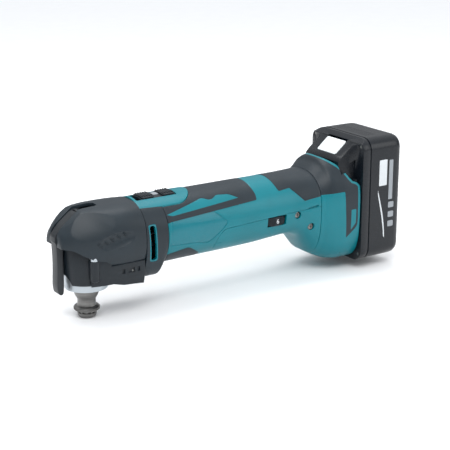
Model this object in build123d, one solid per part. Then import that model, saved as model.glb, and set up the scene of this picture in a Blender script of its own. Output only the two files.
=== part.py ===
from build123d import *
import os
from math import cos, pi, radians, sin

# A cordless oscillating multi tool with a slide-on battery pack.
# Millimetres. The spindle turns about Z through the origin, and Z = 0 is the seat that a blade lies
# against. -X is the nose, +X is the battery, -Y is the operator's left.

os.makedirs("parts", exist_ok=True)

# ---- driving dimensions -----------------------------------------------------------------------

# clearances
RUNNING = 0.05      # radial, a shaft in its bearing or bore
SEATED = 0.04       # between pieces of one body that bear on each other
SLIDING = 0.4       # either side of a piece that slides
SEAM = 0.35         # half of the joint line between two casings
OPEN = 1.0          # air round a piece that swings or spins

# casing
HANDLE_AXIS_Z = 59.5
HANDLE_RADIUS = 29.2
WALL = 2.6
SKIN = 1.4          # depth of the soft inlays
HOOD_FRONT_X = -28.0
HOOD_LENGTH = 69.5
BAND_LENGTH = 21.5
HANDLE_LENGTH = 158.0
TAIL_LENGTH = 40.0
HOOD_HALF_WIDTH = 30.5
HOOD_FRONT_HALF_WIDTH = 13.5
HOOD_EDGE_Z = 41.0
HOOD_ROUND = 19.0
BAND_ROUND = 26.0
BAND_LOW_Z = 21.0
LOWER_HEAD_RADIUS = 21.5
TAIL_HALF_WIDTH = 36.0
TAIL_RISE = 40.5
TAIL_DROP = 56.4

# spindle and blade clamp
COLLAR_RADIUS = 18.1
COLLAR_Z = 20.0
COLLAR_LENGTH = 7.0
SPINDLE_RADIUS = 6.0
CLAMP_BORE_RADIUS = 3.6
SEAT_RADIUS = 11.0
SEAT_THICKNESS = 4.0
DRIVE_RING_RADIUS = 8.4
DRIVE_RING_HEIGHT = 2.0
DRIVE_TEETH = 12
BOLT_CAP_RADIUS = 8.0
BOLT_CAP_HEIGHT = 4.4
BOLT_STEM_LENGTH = 26.0
CLAMP_TRAVEL = 2.5
LOWER_BEARING_RADIUS = 14.0
LOWER_BEARING_HEIGHT = 8.0
UPPER_BEARING_RADIUS = 12.0
UPPER_BEARING_HEIGHT = 5.0
UPPER_BEARING_Z = 66.5
CHAMBER_RADIUS = 15.5
CHAMBER_WALL = 3.0
FORK_HUB_RADIUS = 11.0
FORK_THICKNESS = 12.0
TINE_THICKNESS = 3.0
SWING = 1.8         # either side of the eccentric, where the linkage is left open

# lever
LEVER_X = -3.0
LEVER_Z = 81.5
LEVER_HALF_WIDTH = 4.6
LEVER_TIP_Z = 17.6
LEVER_OPEN_ANGLE = 135.0
CAM_RADIUS = 3.6
CAM_GAP = 0.3
LEVER_PIN_RADIUS = 1.5
EAR_THICKNESS = 3.0

# motor
SHAFT_RADIUS = 3.5
ECCENTRICITY = 0.8
ECCENTRIC_X = 24.5
ECCENTRIC_BEARING_RADIUS = 9.5
ECCENTRIC_BEARING_WIDTH = 7.0
MOTOR_BEARING_RADIUS = 9.5
MOTOR_BEARING_WIDTH = 6.0
FAN_RADIUS = 23.0
FAN_BLADES = 13
YOKE_RADIUS = 23.0
YOKE_WALL = 2.2
MAGNET_THICKNESS = 4.2
MAGNETS = 4
ARMATURE_LENGTH = 44.0
ARMATURE_SLOTS = 12
COMMUTATOR_RADIUS = 10.0
COMMUTATOR_BARS = 24

# switch and dial
SWITCH_TRAVEL = 5.0
KNOB_LENGTH = 33.0
KNOB_HALF_WIDTH = 8.8
ISLAND_LENGTH = 55.0
ISLAND_HALF_WIDTH = 18.5
DIAL_RADIUS = 14.0
DIAL_HEIGHT = 8.0
DIAL_FROM_TAIL = 47.0

# battery
BATTERY_WIDTH = 75.0
BATTERY_HEIGHT = 113.5
BATTERY_DEPTH = 46.5
BATTERY_BOTTOM_Z = 2.5
BATTERY_CORNER = 11.0
BATTERY_WALL = 2.2
BATTERY_FRONT_DEPTH = 8.0
BLOCK_HALF_WIDTH = 29.0
HUMP_HALF_WIDTH = 24.0
CELL_RADIUS = 9.1
CELL_LENGTH = 65.0
RAIL_TOP_Z = 76.0
BUTTON_HALF_WIDTH = 13.5

# ---- places that follow from them -------------------------------------------------------------

HOOD_REAR_X = HOOD_FRONT_X + HOOD_LENGTH
BAND_REAR_X = HOOD_REAR_X + BAND_LENGTH
TAIL_FRONT_X = BAND_REAR_X + HANDLE_LENGTH
TAIL_REAR_X = TAIL_FRONT_X + TAIL_LENGTH
DIAL_X = TAIL_FRONT_X - DIAL_FROM_TAIL
BATTERY_FRONT_X = TAIL_REAR_X + 2 * SEAM
BATTERY_REAR_X = BATTERY_FRONT_X + BATTERY_DEPTH
BATTERY_SPLIT_X = BATTERY_FRONT_X + BATTERY_FRONT_DEPTH
BATTERY_TOP_Z = BATTERY_BOTTOM_Z + BATTERY_HEIGHT
TOP_Z = HANDLE_AXIS_Z + HANDLE_RADIUS
FAR = 400.0


# ---- helpers ----------------------------------------------------------------------------------

def block(x0, x1, y0, y1, z0, z1):
    """A box between its limits."""
    return Pos((x0 + x1) / 2, (y0 + y1) / 2, (z0 + z1) / 2) * Box(x1 - x0, y1 - y0, z1 - z0)


def bar(x0, x1, half_width, z0, z1):
    """A box centred across the tool."""
    return block(x0, x1, -half_width, half_width, z0, z1)


def rod(radius, z0, z1, x=0.0, y=0.0):
    """An upright cylinder."""
    return Pos(x, y, (z0 + z1) / 2) * Cylinder(radius, z1 - z0)


def rod_x(radius, x0, x1, y=0.0, z=HANDLE_AXIS_Z):
    """A cylinder along the handle."""
    return Pos((x0 + x1) / 2, y, z) * Rot(0, 90, 0) * Cylinder(radius, x1 - x0)


def rod_y(radius, y0, y1, x, z):
    """A cylinder across the tool."""
    return Pos(x, (y0 + y1) / 2, z) * Rot(90, 0, 0) * Cylinder(radius, y1 - y0)


def tube(outer, inner, z0, z1, x=0.0, y=0.0):
    return rod(outer, z0, z1, x, y) - rod(inner, z0 - 1, z1 + 1, x, y)


def tube_x(outer, inner, x0, x1, z=HANDLE_AXIS_Z):
    return rod_x(outer, x0, x1, z=z) - rod_x(inner, x0 - 1, x1 + 1, z=z)


def side_cut(points, half_width=60.0):
    """A prism across the tool from an outline in X and Z."""
    outline = Plane.XZ * make_face(Polyline(*points, close=True))
    return extrude(outline, amount=half_width, both=True)


def plan_cut(points, z0, z1):
    """An upright prism from an outline in X and Y."""
    outline = Plane.XY.offset(z0) * make_face(Polyline(*points, close=True))
    return extrude(outline, amount=z1 - z0)


def cross_section(x0, x1, half_width, z0, z1, top_round, low_round):
    """A straight casing along X from its rounded outline in Y and Z."""
    plane = Plane((x0, 0, 0), x_dir=(0, 1, 0), z_dir=(1, 0, 0))
    corners = [(-half_width, z0), (half_width, z0), (half_width, z1), (-half_width, z1)]
    outline = plane * make_face(Polyline(*corners, close=True))
    outline = fillet(outline.vertices().group_by(Axis.Z)[-1], top_round)
    outline = fillet(outline.vertices().group_by(Axis.Z)[0], low_round)
    return extrude(outline, amount=x1 - x0, dir=(1, 0, 0))


def save(shape, name):
    """Write one node as one STEP file."""
    if isinstance(shape, (list, ShapeList)):
        shape = Compound(children=list(shape))
    shape.label = name
    export_step(shape, f"parts/{name}.step")


# ---- envelopes --------------------------------------------------------------------------------

def hood_envelope(inset=0.0):
    """Pointed in plan, chamfered down to the nose, with a crowned roof."""
    x, half = HOOD_FRONT_X, HOOD_HALF_WIDTH - inset
    nose = HOOD_FRONT_HALF_WIDTH - inset
    rear = HOOD_REAR_X
    flank = [(x + inset, nose), (x + 4, nose + 4.4), (x + 9, nose + 7.6), (x + 18, half - 5.0),
             (x + 28, half - 2.0), (x + 48, half), (rear, half - 0.5)]
    plan = flank + [(px, -py) for px, py in reversed(flank)]
    top = TOP_Z + 0.2 - inset
    roof = [(x, 20), (x, top - 19), (x + 4, top - 13), (x + 20, top), (rear, top), (rear, 20)]
    body = cross_section(x, rear, HOOD_HALF_WIDTH - inset, 20, top, HOOD_ROUND - inset, 2)
    return body & plan_cut(plan, 10, FAR) & side_cut(roof)


def band_envelope(inset=0.0):
    """The deep ring between head and handle."""
    low = BAND_LOW_Z + inset
    return cross_section(HOOD_REAR_X, BAND_REAR_X, HOOD_HALF_WIDTH - 0.7 - inset, low, TOP_Z - inset,
                         BAND_ROUND - inset, 18 - inset)


def handle_under(inset):
    """The underside from the side: straight, lifted at the back, then swept down to the tail."""
    x, r = TAIL_FRONT_X, HANDLE_RADIUS - inset * 1.1
    z = HANDLE_AXIS_Z
    return [(0, z - r - 0.4), (BAND_REAR_X + 62, z - r), (x - 43, z - r + 2.6), (x - 27, z - r + 4.2),
            (x - 17, z - r + 1.4), (x - 8, z - r - 8), (x, z - r - 18.3), (x + 9, z - r - 18.3),
            (x + 9, FAR), (0, FAR)]


def handle_envelope(inset=0.0):
    """A round handle whose flanks drop straight below the axis towards the tail."""
    body = rod_x(HANDLE_RADIUS - inset, BAND_REAR_X, TAIL_FRONT_X)
    z = HANDLE_AXIS_Z
    x, half = TAIL_FRONT_X, HANDLE_RADIUS - 0.5 - inset
    flanks = cross_section(x - 50, x, half, z - HANDLE_RADIUS - 18 + inset, z + 4, 3, 10 - inset)
    flanks &= side_cut([(x - 46, z + 4), (x - 13, z - HANDLE_RADIUS), (x - 13, 0), (x, 0), (x, z + 4)])
    return (body + flanks) & side_cut(handle_under(inset))


def tail_envelope(inset=0.0):
    """The tail widens to the battery and stands higher than the handle."""
    x, rear, half = TAIL_FRONT_X, TAIL_REAR_X, TAIL_HALF_WIDTH - inset
    z, low = HANDLE_AXIS_Z, HANDLE_AXIS_Z - TAIL_DROP + inset
    top = HANDLE_AXIS_Z + TAIL_RISE - inset
    body = cross_section(x, rear, half, low, top, 30 - inset, 12 - inset)
    plan = [(x, half - 4.8), (x + 10, half - 2.0), (x + 20, half), (rear, half)]
    side = [(x, z + HANDLE_RADIUS + 0.4 - inset), (x + 4, z + HANDLE_RADIUS + 4 - inset), (x + 10, top),
            (rear, top), (rear, low), (x + 20, low), (x + 8, low + 2.8), (x, low + 9)]
    return body & plan_cut(plan + [(px, -py) for px, py in reversed(plan)], -9, FAR) & side_cut(side)


# ---- head: gear case, spindle and clamp ---------------------------------------------------------

CHAMBER_FLOOR_Z = COLLAR_Z + 1.5 + LOWER_BEARING_HEIGHT + 2.0
CHAMBER_TOP_Z = UPPER_BEARING_Z + UPPER_BEARING_HEIGHT + 2.5
CHAMBER_REAR_X = ECCENTRIC_X + ECCENTRIC_BEARING_WIDTH + 2.5
FLANGE_RADIUS = HANDLE_RADIUS - WALL - 2.6
FLANGE_REAR_X = CHAMBER_REAR_X + 2.5 + MOTOR_BEARING_WIDTH + 0.5
MOTOR_BEARING_X = CHAMBER_REAR_X + 2.5
EAR_TOP_Z = LEVER_Z + 2.7
EAR_INNER_Y = LEVER_HALF_WIDTH + 0.6
SPINDLE_TOP_Z = UPPER_BEARING_Z + UPPER_BEARING_HEIGHT
SHAFT_HEAD_TOP_Z = LEVER_Z - CAM_RADIUS - CAM_GAP
SHAFT_HEAD_RADIUS = EAR_INNER_Y - 0.5
SHAFT_HEAD_HEIGHT = 2.0
SPRING_BORE_RADIUS = 4.7
SPRING_SEAT_Z = 58.0
BEARING_Z = COLLAR_Z + 1.5
BOSS_X = -4.0
BOSS_Y = 23.6
BOSS_RADIUS = 3.4
BOSS_LOW_Z = 46.0
HEAD_SCREW_RADIUS = 1.9


def gear_housing():
    outer = CHAMBER_RADIUS + CHAMBER_WALL
    case = rod(COLLAR_RADIUS, COLLAR_Z, CHAMBER_FLOOR_Z + 4)
    case += rod(outer, COLLAR_Z + COLLAR_LENGTH, CHAMBER_TOP_Z)
    case += bar(0, CHAMBER_REAR_X, outer, CHAMBER_FLOOR_Z, CHAMBER_TOP_Z)
    case += rod_x(FLANGE_RADIUS, CHAMBER_REAR_X, FLANGE_REAR_X)
    for side in (-1, 1):
        y = side * (EAR_INNER_Y + EAR_THICKNESS / 2)
        half = EAR_THICKNESS / 2
        ear = block(LEVER_X - 5, LEVER_X + 5, y - half, y + half, CHAMBER_TOP_Z - 1, EAR_TOP_Z - 2)
        ear += rod_y(5, y - half, y + half, LEVER_X, LEVER_Z - 2.3)
        case += ear - bar(LEVER_X - 9, LEVER_X + 9, 20, EAR_TOP_Z, FAR)
        for x in (BOSS_X, CHAMBER_REAR_X - 4):
            reach = block(x - 3, x + 3, min(0, side * BOSS_Y), max(0, side * BOSS_Y), 50, 58)
            boss = rod(BOSS_RADIUS, BOSS_LOW_Z, 58, x, side * BOSS_Y)
            case += reach + boss
    case -= side_cut([(-outer - 1, CHAMBER_TOP_Z - 4), (-outer - 1, CHAMBER_TOP_Z + 1),
                      (-outer + 4, CHAMBER_TOP_Z + 1)])
    # bearing pockets, the chamber and its way out to the motor
    case -= rod(LOWER_BEARING_RADIUS + SEATED, COLLAR_Z - 1, CHAMBER_FLOOR_Z - 2)
    case -= rod(SPINDLE_RADIUS + 3, COLLAR_Z, CHAMBER_FLOOR_Z + 1)
    case -= rod(CHAMBER_RADIUS, CHAMBER_FLOOR_Z, UPPER_BEARING_Z - 0.5)
    case -= bar(0, CHAMBER_REAR_X, CHAMBER_RADIUS, CHAMBER_FLOOR_Z, UPPER_BEARING_Z - 0.5)
    case -= bar(ECCENTRIC_X - 3, CHAMBER_REAR_X, CHAMBER_RADIUS, CHAMBER_FLOOR_Z, CHAMBER_TOP_Z - 2)
    case -= rod(UPPER_BEARING_RADIUS + SEATED, UPPER_BEARING_Z - 1, SPINDLE_TOP_Z)
    case -= rod(UPPER_BEARING_RADIUS - 3, SPINDLE_TOP_Z - 1, CHAMBER_TOP_Z + 1)
    case -= rod_x(MOTOR_BEARING_RADIUS + SEATED, MOTOR_BEARING_X, FLANGE_REAR_X + 1)
    case -= rod_x(SHAFT_RADIUS + 2, CHAMBER_REAR_X - 1, FLANGE_REAR_X)
    case -= rod_y(LEVER_PIN_RADIUS + SEATED, -20, 20, LEVER_X, LEVER_Z)
    for side in (-1, 1):
        for x in (BOSS_X, CHAMBER_REAR_X - 4):
            case -= rod(HEAD_SCREW_RADIUS + SEATED, 40, 55, x, side * BOSS_Y)
    return case


def spindle():
    taper_low, taper_high = SEAT_THICKNESS + 5, COLLAR_Z - 1
    body = rod(SPINDLE_RADIUS, 0, SPINDLE_TOP_Z)
    body += rod(SEAT_RADIUS, 0, SEAT_THICKNESS - 1)
    body += Pos(0, 0, SEAT_THICKNESS - 0.5) * Cone(SEAT_RADIUS, SEAT_RADIUS - 1, 1)
    body += rod(SEAT_RADIUS - 3.3, SEAT_THICKNESS - 1, taper_low)
    body += Pos(0, 0, (taper_low + taper_high) / 2) * Cone(
        SEAT_RADIUS - 3.3, SEAT_RADIUS - 0.5, taper_high - taper_low)
    body += rod(DRIVE_RING_RADIUS - 1.4, -DRIVE_RING_HEIGHT, 0)
    tooth = Pos(DRIVE_RING_RADIUS - 1.4, 0, -DRIVE_RING_HEIGHT / 2) * Box(2.4, 1.8, DRIVE_RING_HEIGHT)
    teeth = PolarLocations(0, DRIVE_TEETH) * tooth
    body += [t & rod(DRIVE_RING_RADIUS, -DRIVE_RING_HEIGHT, 0) for t in teeth]
    body -= rod(CLAMP_BORE_RADIUS, -DRIVE_RING_HEIGHT - 1, SPINDLE_TOP_Z + 1)
    body -= rod(SPRING_BORE_RADIUS, SPRING_SEAT_Z, SPINDLE_TOP_Z + 1)
    return body


def ball_bearing(outer, inner, width):
    """Two rings with a groove between them and shields, as one closed unit lying along Z."""
    ring = tube(outer, inner, -width / 2, width / 2)
    middle = (outer + inner) / 2
    half_gap = (outer - inner) * 0.22
    for z in (-width / 2, width / 2):
        ring -= tube(middle + half_gap, middle - half_gap, z - 0.4, z + 0.4)
    return ring


def spindle_bearings():
    lower = ball_bearing(LOWER_BEARING_RADIUS, SPINDLE_RADIUS + RUNNING, LOWER_BEARING_HEIGHT)
    upper = ball_bearing(UPPER_BEARING_RADIUS, SPINDLE_RADIUS + RUNNING, UPPER_BEARING_HEIGHT)
    lower = Pos(0, 0, BEARING_Z + LOWER_BEARING_HEIGHT / 2) * lower
    upper = Pos(0, 0, UPPER_BEARING_Z + UPPER_BEARING_HEIGHT / 2) * upper
    return lower, upper


def retaining_ring():
    """The spring ring that holds the lower bearing, open at the front."""
    ring = tube(LOWER_BEARING_RADIUS, LOWER_BEARING_RADIUS - 2.2, COLLAR_Z + 0.3, BEARING_Z - SEATED)
    return ring - block(-FAR, 0, -2, 2, 0, FAR)


def fork_arm():
    low = HANDLE_AXIS_Z - FORK_THICKNESS / 2
    high = HANDLE_AXIS_Z + FORK_THICKNESS / 2 - 1
    inner = ECCENTRIC_BEARING_RADIUS + SWING
    tine_end = ECCENTRIC_X + ECCENTRIC_BEARING_WIDTH + 1
    arm = rod(FORK_HUB_RADIUS, low, high)
    arm += bar(4, tine_end, inner + TINE_THICKNESS, low, high) - bar(16, FAR, inner, 0, FAR)
    arm -= side_cut([(4, high), (14, high), (14, high + 9), (4, high + 9)])
    return arm - rod(SPINDLE_RADIUS, 0, FAR)


def clamp_shaft():
    shaft = rod(CLAMP_BORE_RADIUS - RUNNING, BOLT_STEM_LENGTH + 4, SPRING_SEAT_Z - CLAMP_TRAVEL - 1)
    shaft += rod(2.6, SPRING_SEAT_Z - CLAMP_TRAVEL - 2, SHAFT_HEAD_TOP_Z)
    shaft += rod(SHAFT_HEAD_RADIUS, SHAFT_HEAD_TOP_Z - SHAFT_HEAD_HEIGHT, SHAFT_HEAD_TOP_Z)
    return shaft


def coil(radius, wire, z0, z1, turns):
    """A compression spring as a stack of closed turns joined into one solid by a thin strip."""
    pitch = (z1 - z0 - wire * 2) / (turns - 1)
    spring = block(radius - 0.4, radius + 0.4, -0.4, 0.4, z0 + wire, z1 - wire)
    for i in range(turns):
        spring += Pos(0, 0, z0 + wire + i * pitch) * Torus(radius, wire)
    return spring


def clamp_spring():
    low = SPRING_SEAT_Z + SEATED
    high = SHAFT_HEAD_TOP_Z - SHAFT_HEAD_HEIGHT - SEATED
    return coil(SPRING_BORE_RADIUS - 0.9, 0.6, low, high, 7)


def holder_bolt():
    top = -DRIVE_RING_HEIGHT - SEATED
    cap = rod(BOLT_CAP_RADIUS, top - BOLT_CAP_HEIGHT, top)
    cap = fillet(cap.edges().sort_by(Axis.Z)[0], 1.6)
    stem = rod(CLAMP_BORE_RADIUS - RUNNING, top - 1, BOLT_STEM_LENGTH)
    grooves = [tube(5, 3.0, z, z + 0.7) for z in (15, 17, 19, 21)]
    bolt = cap + stem - grooves
    return bolt - Pos(0, 0, top - BOLT_CAP_HEIGHT) * extrude(RegularPolygon(2.9, 6), amount=2)


def cam_outline():
    """The cam's radius grows evenly with the lever's angle, from CAM_RADIUS by CLAMP_TRAVEL."""
    points = []
    opened = radians(LEVER_OPEN_ANGLE)
    growth = CLAMP_TRAVEL / opened
    steps = 12
    for i in range(steps + 1):
        angle = opened * i / steps
        reach = CAM_RADIUS + growth * angle
        points.append((LEVER_X + reach * sin(angle), LEVER_Z - reach * cos(angle)))
    return points


def lever_cam():
    points = cam_outline()
    points.append((LEVER_X - CAM_RADIUS, LEVER_Z + CAM_RADIUS * 0.8))
    points.append((LEVER_X - CAM_RADIUS, LEVER_Z - CAM_RADIUS * 0.4))
    cam = side_cut(points, LEVER_HALF_WIDTH - 1.2)
    cam += rod_y(CAM_RADIUS, 1.2 - LEVER_HALF_WIDTH, LEVER_HALF_WIDTH - 1.2, LEVER_X, LEVER_Z)
    return cam - rod_y(LEVER_PIN_RADIUS + RUNNING, -20, 20, LEVER_X, LEVER_Z)


def clamp_lever():
    x, z = HOOD_FRONT_X, TOP_Z
    outline = [
        (LEVER_X + 1, LEVER_Z + 4.4), (LEVER_X - 4, z - 2.2), (x + 17, z - 3.8), (x + 5, z - 13.0),
        (x - 0.8, z - 19.5), (x - 1.6, z - 24.5), (x - 0.3, z - 25.5), (x + 0.6, 46), (x - 0.6, 25),
        (x + 0.2, LEVER_TIP_Z + 1.2), (x + 2.2, LEVER_TIP_Z), (x + 4.4, LEVER_TIP_Z + 0.6),
        (x + 5.6, LEVER_TIP_Z + 4), (x + 5.8, z - 24), (x + 7, z - 17.5), (x + 11, z - 13.2),
        (x + 18, z - 10.9),
        (LEVER_X - 4.0, LEVER_Z - 2.4), (LEVER_X + 1, LEVER_Z - 3.4),
    ]
    lever = side_cut(outline, LEVER_HALF_WIDTH)
    lever += rod_y(CAM_RADIUS, -LEVER_HALF_WIDTH, LEVER_HALF_WIDTH, LEVER_X, LEVER_Z)
    # room for the cam between the lever's cheeks, and for the shaft's head below it
    lever -= rod_y(8, 1.2 - LEVER_HALF_WIDTH - SEATED, LEVER_HALF_WIDTH - 1.2 + SEATED, LEVER_X, LEVER_Z)
    lever -= bar(LEVER_X - 7, LEVER_X + 9, FAR, 0, SHAFT_HEAD_TOP_Z + CAM_GAP)
    return lever - rod_y(LEVER_PIN_RADIUS + RUNNING, -20, 20, LEVER_X, LEVER_Z)


def lever_pin():
    reach = EAR_INNER_Y + EAR_THICKNESS
    return rod_y(LEVER_PIN_RADIUS, -reach, reach, LEVER_X, LEVER_Z)


# ---- head: casings ------------------------------------------------------------------------------

def hood_side():
    """The hood's outline from the side: its chamfered front and its stepped lower edge."""
    x, edge = HOOD_FRONT_X, HOOD_EDGE_Z
    rear = HOOD_REAR_X - SEAM
    return [
        (x - 1, edge + 19), (x - 1, FAR), (rear, FAR), (rear, edge + 1.5), (20, edge - 1),
        (8, edge), (6.5, edge + 6), (-10, edge + 10), (-19, edge + 15), (-20, edge + 19),
    ]


def lever_slot(clearance):
    """The way that the lever swings in: open at the front, and closed behind and below the cam."""
    half = LEVER_HALF_WIDTH + clearance
    slot = bar(HOOD_FRONT_X - 9, LEVER_X - 5, half, 0, FAR)
    return slot + bar(LEVER_X - 6, LEVER_X + 13, half, EAR_TOP_Z - 9, FAR)


def head_cover():
    cover = hood_envelope() & side_cut(hood_side())
    inner = hood_envelope(WALL + 0.4)
    cover -= inner & bar(HOOD_FRONT_X + WALL, HOOD_REAR_X - 1.5, 60, 0, FAR)
    cover -= rod_x(HANDLE_RADIUS - WALL, HOOD_REAR_X - 3, HOOD_REAR_X + 1)
    cover -= lever_slot(0.9)
    # ears of the gear case and the lever pin come up under the roof
    reach = EAR_INNER_Y + EAR_THICKNESS + 0.3
    cover -= bar(LEVER_X - 5.4, LEVER_X + 5.4, reach, 0, EAR_TOP_Z + 0.3)
    for side in (-1, 1):
        cover -= rod(BOSS_RADIUS + 0.3, 0, 58.3, BOSS_X, side * BOSS_Y)
    return cover


def lower_head_outline(inset):
    """Round at the nose, then straight back to the band, widening a little."""
    r = LOWER_HEAD_RADIUS - inset
    nose = [(-r * cos(a * pi / 16), r * sin(a * pi / 16)) for a in range(-8, 9)]
    rear = HOOD_REAR_X - SEAM
    return nose + [(rear, r + 4.5), (rear, -r - 4.5)]


LED_RADIUS = 2.6
LED_X = 31.0
LOWER_COVER_REAR_Z = 21.5
LOWER_COVER_LED_Z = 23.0


def head_lower_cover():
    front = COLLAR_Z + COLLAR_LENGTH
    top = BOSS_LOW_Z - SEATED
    rear = HOOD_REAR_X
    cover = plan_cut(lower_head_outline(0), COLLAR_Z + 1, top)
    cover -= side_cut([(-40, 0), (rear + 1, 0), (rear + 1, LOWER_COVER_REAR_Z),
                       (LED_X - 1, LOWER_COVER_LED_Z), (-18, front), (-40, front)])
    within_hood = hood_envelope(WALL + 0.7) & bar(-40, rear - 2, 60, 0, FAR)
    cover &= within_hood + block(-40, 60, -40, 40, 0, HOOD_EDGE_Z - 1.4)
    # the notch at the nose, which shows the gear case
    cover -= Pos(-LOWER_HEAD_RADIUS - 4, 0, front) * Cylinder(13, 22)
    inner = plan_cut(lower_head_outline(WALL), COLLAR_Z, top + 1)
    inner -= side_cut([(-40, 0), (rear + 1, 0), (rear + 1, LOWER_COVER_REAR_Z + WALL),
                       (LED_X - 1, LOWER_COVER_LED_Z + WALL), (-18, front + WALL), (-40, front + WALL)])
    cover -= inner
    cover -= rod(CHAMBER_RADIUS + CHAMBER_WALL + SEATED, 0, FAR)
    cover -= bar(0, CHAMBER_REAR_X + SEATED, CHAMBER_RADIUS + CHAMBER_WALL + SEATED, CHAMBER_FLOOR_Z, FAR)
    cover -= rod_x(FLANGE_RADIUS + SEATED, CHAMBER_REAR_X - SEATED, FLANGE_REAR_X + 1)
    cover -= rod(LED_RADIUS + SEATED, 0, FAR, LED_X)
    for side in (-1, 1):
        for x in (18, 23, 28, 33):
            cover -= block(x, x + 2.4, side * 30 - 8, side * 30 + 8, 35.5, 38)
        for x in (BOSS_X, CHAMBER_REAR_X - 4):
            cover += rod(BOSS_RADIUS, 34, top, x, side * BOSS_Y)
            cover -= rod(HEAD_SCREW_RADIUS + SEATED, 33, 47, x, side * BOSS_Y)
            cover -= rod(BOSS_RADIUS - 0.7, 33, 36, x, side * BOSS_Y)
    return cover


def led_lens():
    floor = LOWER_COVER_LED_Z + WALL + SEATED + 0.3
    lens = rod(LED_RADIUS, LOWER_COVER_LED_Z - 0.4, floor + 1, LED_X)
    return lens + rod(LED_RADIUS + 1, floor, floor + 1, LED_X)


def head_screws():
    screws = []
    for side in (-1, 1):
        for x in (BOSS_X, CHAMBER_REAR_X - 4):
            screw = rod(HEAD_SCREW_RADIUS, 34.4, 54, x, side * BOSS_Y)
            screw += rod(BOSS_RADIUS - 0.8, 34.2, 36 - SEATED, x, side * BOSS_Y)
            screws.append(screw - block(x - 1.8, x + 1.8, side * BOSS_Y - 0.5, side * BOSS_Y + 0.5, 33, 35))
    return screws


# ---- motor --------------------------------------------------------------------------------------

YOKE_FRONT_X = BAND_REAR_X + 1.5
YOKE_REAR_X = YOKE_FRONT_X + ARMATURE_LENGTH + 11
CORE_FRONT_X = YOKE_FRONT_X + 5
CORE_REAR_X = CORE_FRONT_X + ARMATURE_LENGTH
CORE_RADIUS = YOKE_RADIUS - YOKE_WALL - MAGNET_THICKNESS - 0.9
COMMUTATOR_X = CORE_REAR_X + 9
COMMUTATOR_LENGTH = 12.0
REAR_BEARING_RADIUS = 8.0
REAR_BEARING_X = COMMUTATOR_X + COMMUTATOR_LENGTH + 6
BRUSH_X = COMMUTATOR_X + COMMUTATOR_LENGTH / 2
BRUSH_HALF = 3.2
FAN_X = FLANGE_REAR_X + 2.5


def rotor_shaft():
    front = ECCENTRIC_X - 1.5
    shaft = rod_x(SHAFT_RADIUS, ECCENTRIC_X + ECCENTRIC_BEARING_WIDTH + 1, REAR_BEARING_X + 6)
    journal = rod_x(SHAFT_RADIUS, front, ECCENTRIC_X + ECCENTRIC_BEARING_WIDTH + 1.5,
                    z=HANDLE_AXIS_Z + ECCENTRICITY)
    return shaft + journal


def eccentric_bearing():
    ring = ball_bearing(ECCENTRIC_BEARING_RADIUS, SHAFT_RADIUS, ECCENTRIC_BEARING_WIDTH)
    x = ECCENTRIC_X + ECCENTRIC_BEARING_WIDTH / 2
    return Pos(x, 0, HANDLE_AXIS_Z + ECCENTRICITY) * Rot(0, 90, 0) * ring


def motor_bearings():
    front = ball_bearing(MOTOR_BEARING_RADIUS, SHAFT_RADIUS + RUNNING, MOTOR_BEARING_WIDTH)
    rear = ball_bearing(REAR_BEARING_RADIUS, SHAFT_RADIUS + RUNNING, 5)
    front = Pos(MOTOR_BEARING_X + MOTOR_BEARING_WIDTH / 2, 0, HANDLE_AXIS_Z) * Rot(0, 90, 0) * front
    rear = Pos(REAR_BEARING_X + 2.5, 0, HANDLE_AXIS_Z) * Rot(0, 90, 0) * rear
    return front, rear


def cooling_fan():
    fan = rod_x(6, FAN_X, FAN_X + 8) + rod_x(FAN_RADIUS, FAN_X, FAN_X + 1.5)
    blade = block(FAN_X + 1, FAN_X + 8, -0.6, 0.6, 5, FAN_RADIUS - 0.5)
    for i in range(FAN_BLADES):
        fan += Pos(0, 0, HANDLE_AXIS_Z) * Rot(360 * i / FAN_BLADES, 0, 0) * blade
    return fan - rod_x(SHAFT_RADIUS, FAN_X - 1, FAN_X + 9)


def link_way(x0, x1):
    """Room over the motor for the switch link and the thumb slide's foot."""
    return bar(x0, x1, KNOB_HALF_WIDTH + OPEN, HANDLE_AXIS_Z + YOKE_RADIUS + 0.4, FAR)


def baffle_plate():
    """Guides the cooling air from the motor into the fan."""
    x = FAN_X + 8 + OPEN
    plate = tube_x(HANDLE_RADIUS - WALL - SEATED, FAN_RADIUS - 6, x, x + 1.8)
    return plate - link_way(x - 1, x + 3)


def motor_yoke():
    return tube_x(YOKE_RADIUS, YOKE_RADIUS - YOKE_WALL, YOKE_FRONT_X, YOKE_REAR_X)


def motor_magnets():
    outer = YOKE_RADIUS - YOKE_WALL - SEATED
    ring = tube_x(outer, outer - MAGNET_THICKNESS, CORE_FRONT_X - 1, CORE_REAR_X + 1)
    gap = block(CORE_FRONT_X - 5, CORE_REAR_X + 5, -1.5, 1.5, 0, 40)
    for i in range(MAGNETS):
        ring -= Pos(0, 0, HANDLE_AXIS_Z) * Rot(45 + 360 * i / MAGNETS, 0, 0) * gap
    return ring.solids()


def rotor_core():
    core = rod_x(CORE_RADIUS, CORE_FRONT_X, CORE_REAR_X)
    slot = block(CORE_FRONT_X - 1, CORE_REAR_X + 1, -0.9, 0.9, CORE_RADIUS - 5, CORE_RADIUS + 1)
    for i in range(ARMATURE_SLOTS):
        core -= Pos(0, 0, HANDLE_AXIS_Z) * Rot(360 * i / ARMATURE_SLOTS, 0, 0) * slot
    return core - rod_x(SHAFT_RADIUS, 0, FAR)


def armature_windings():
    ends = []
    for x0, x1 in ((CORE_FRONT_X - 5, CORE_FRONT_X), (CORE_REAR_X, CORE_REAR_X + 7)):
        ends.append(tube_x(CORE_RADIUS - 1.5, SHAFT_RADIUS + 0.5, x0, x1))
    return ends


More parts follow.
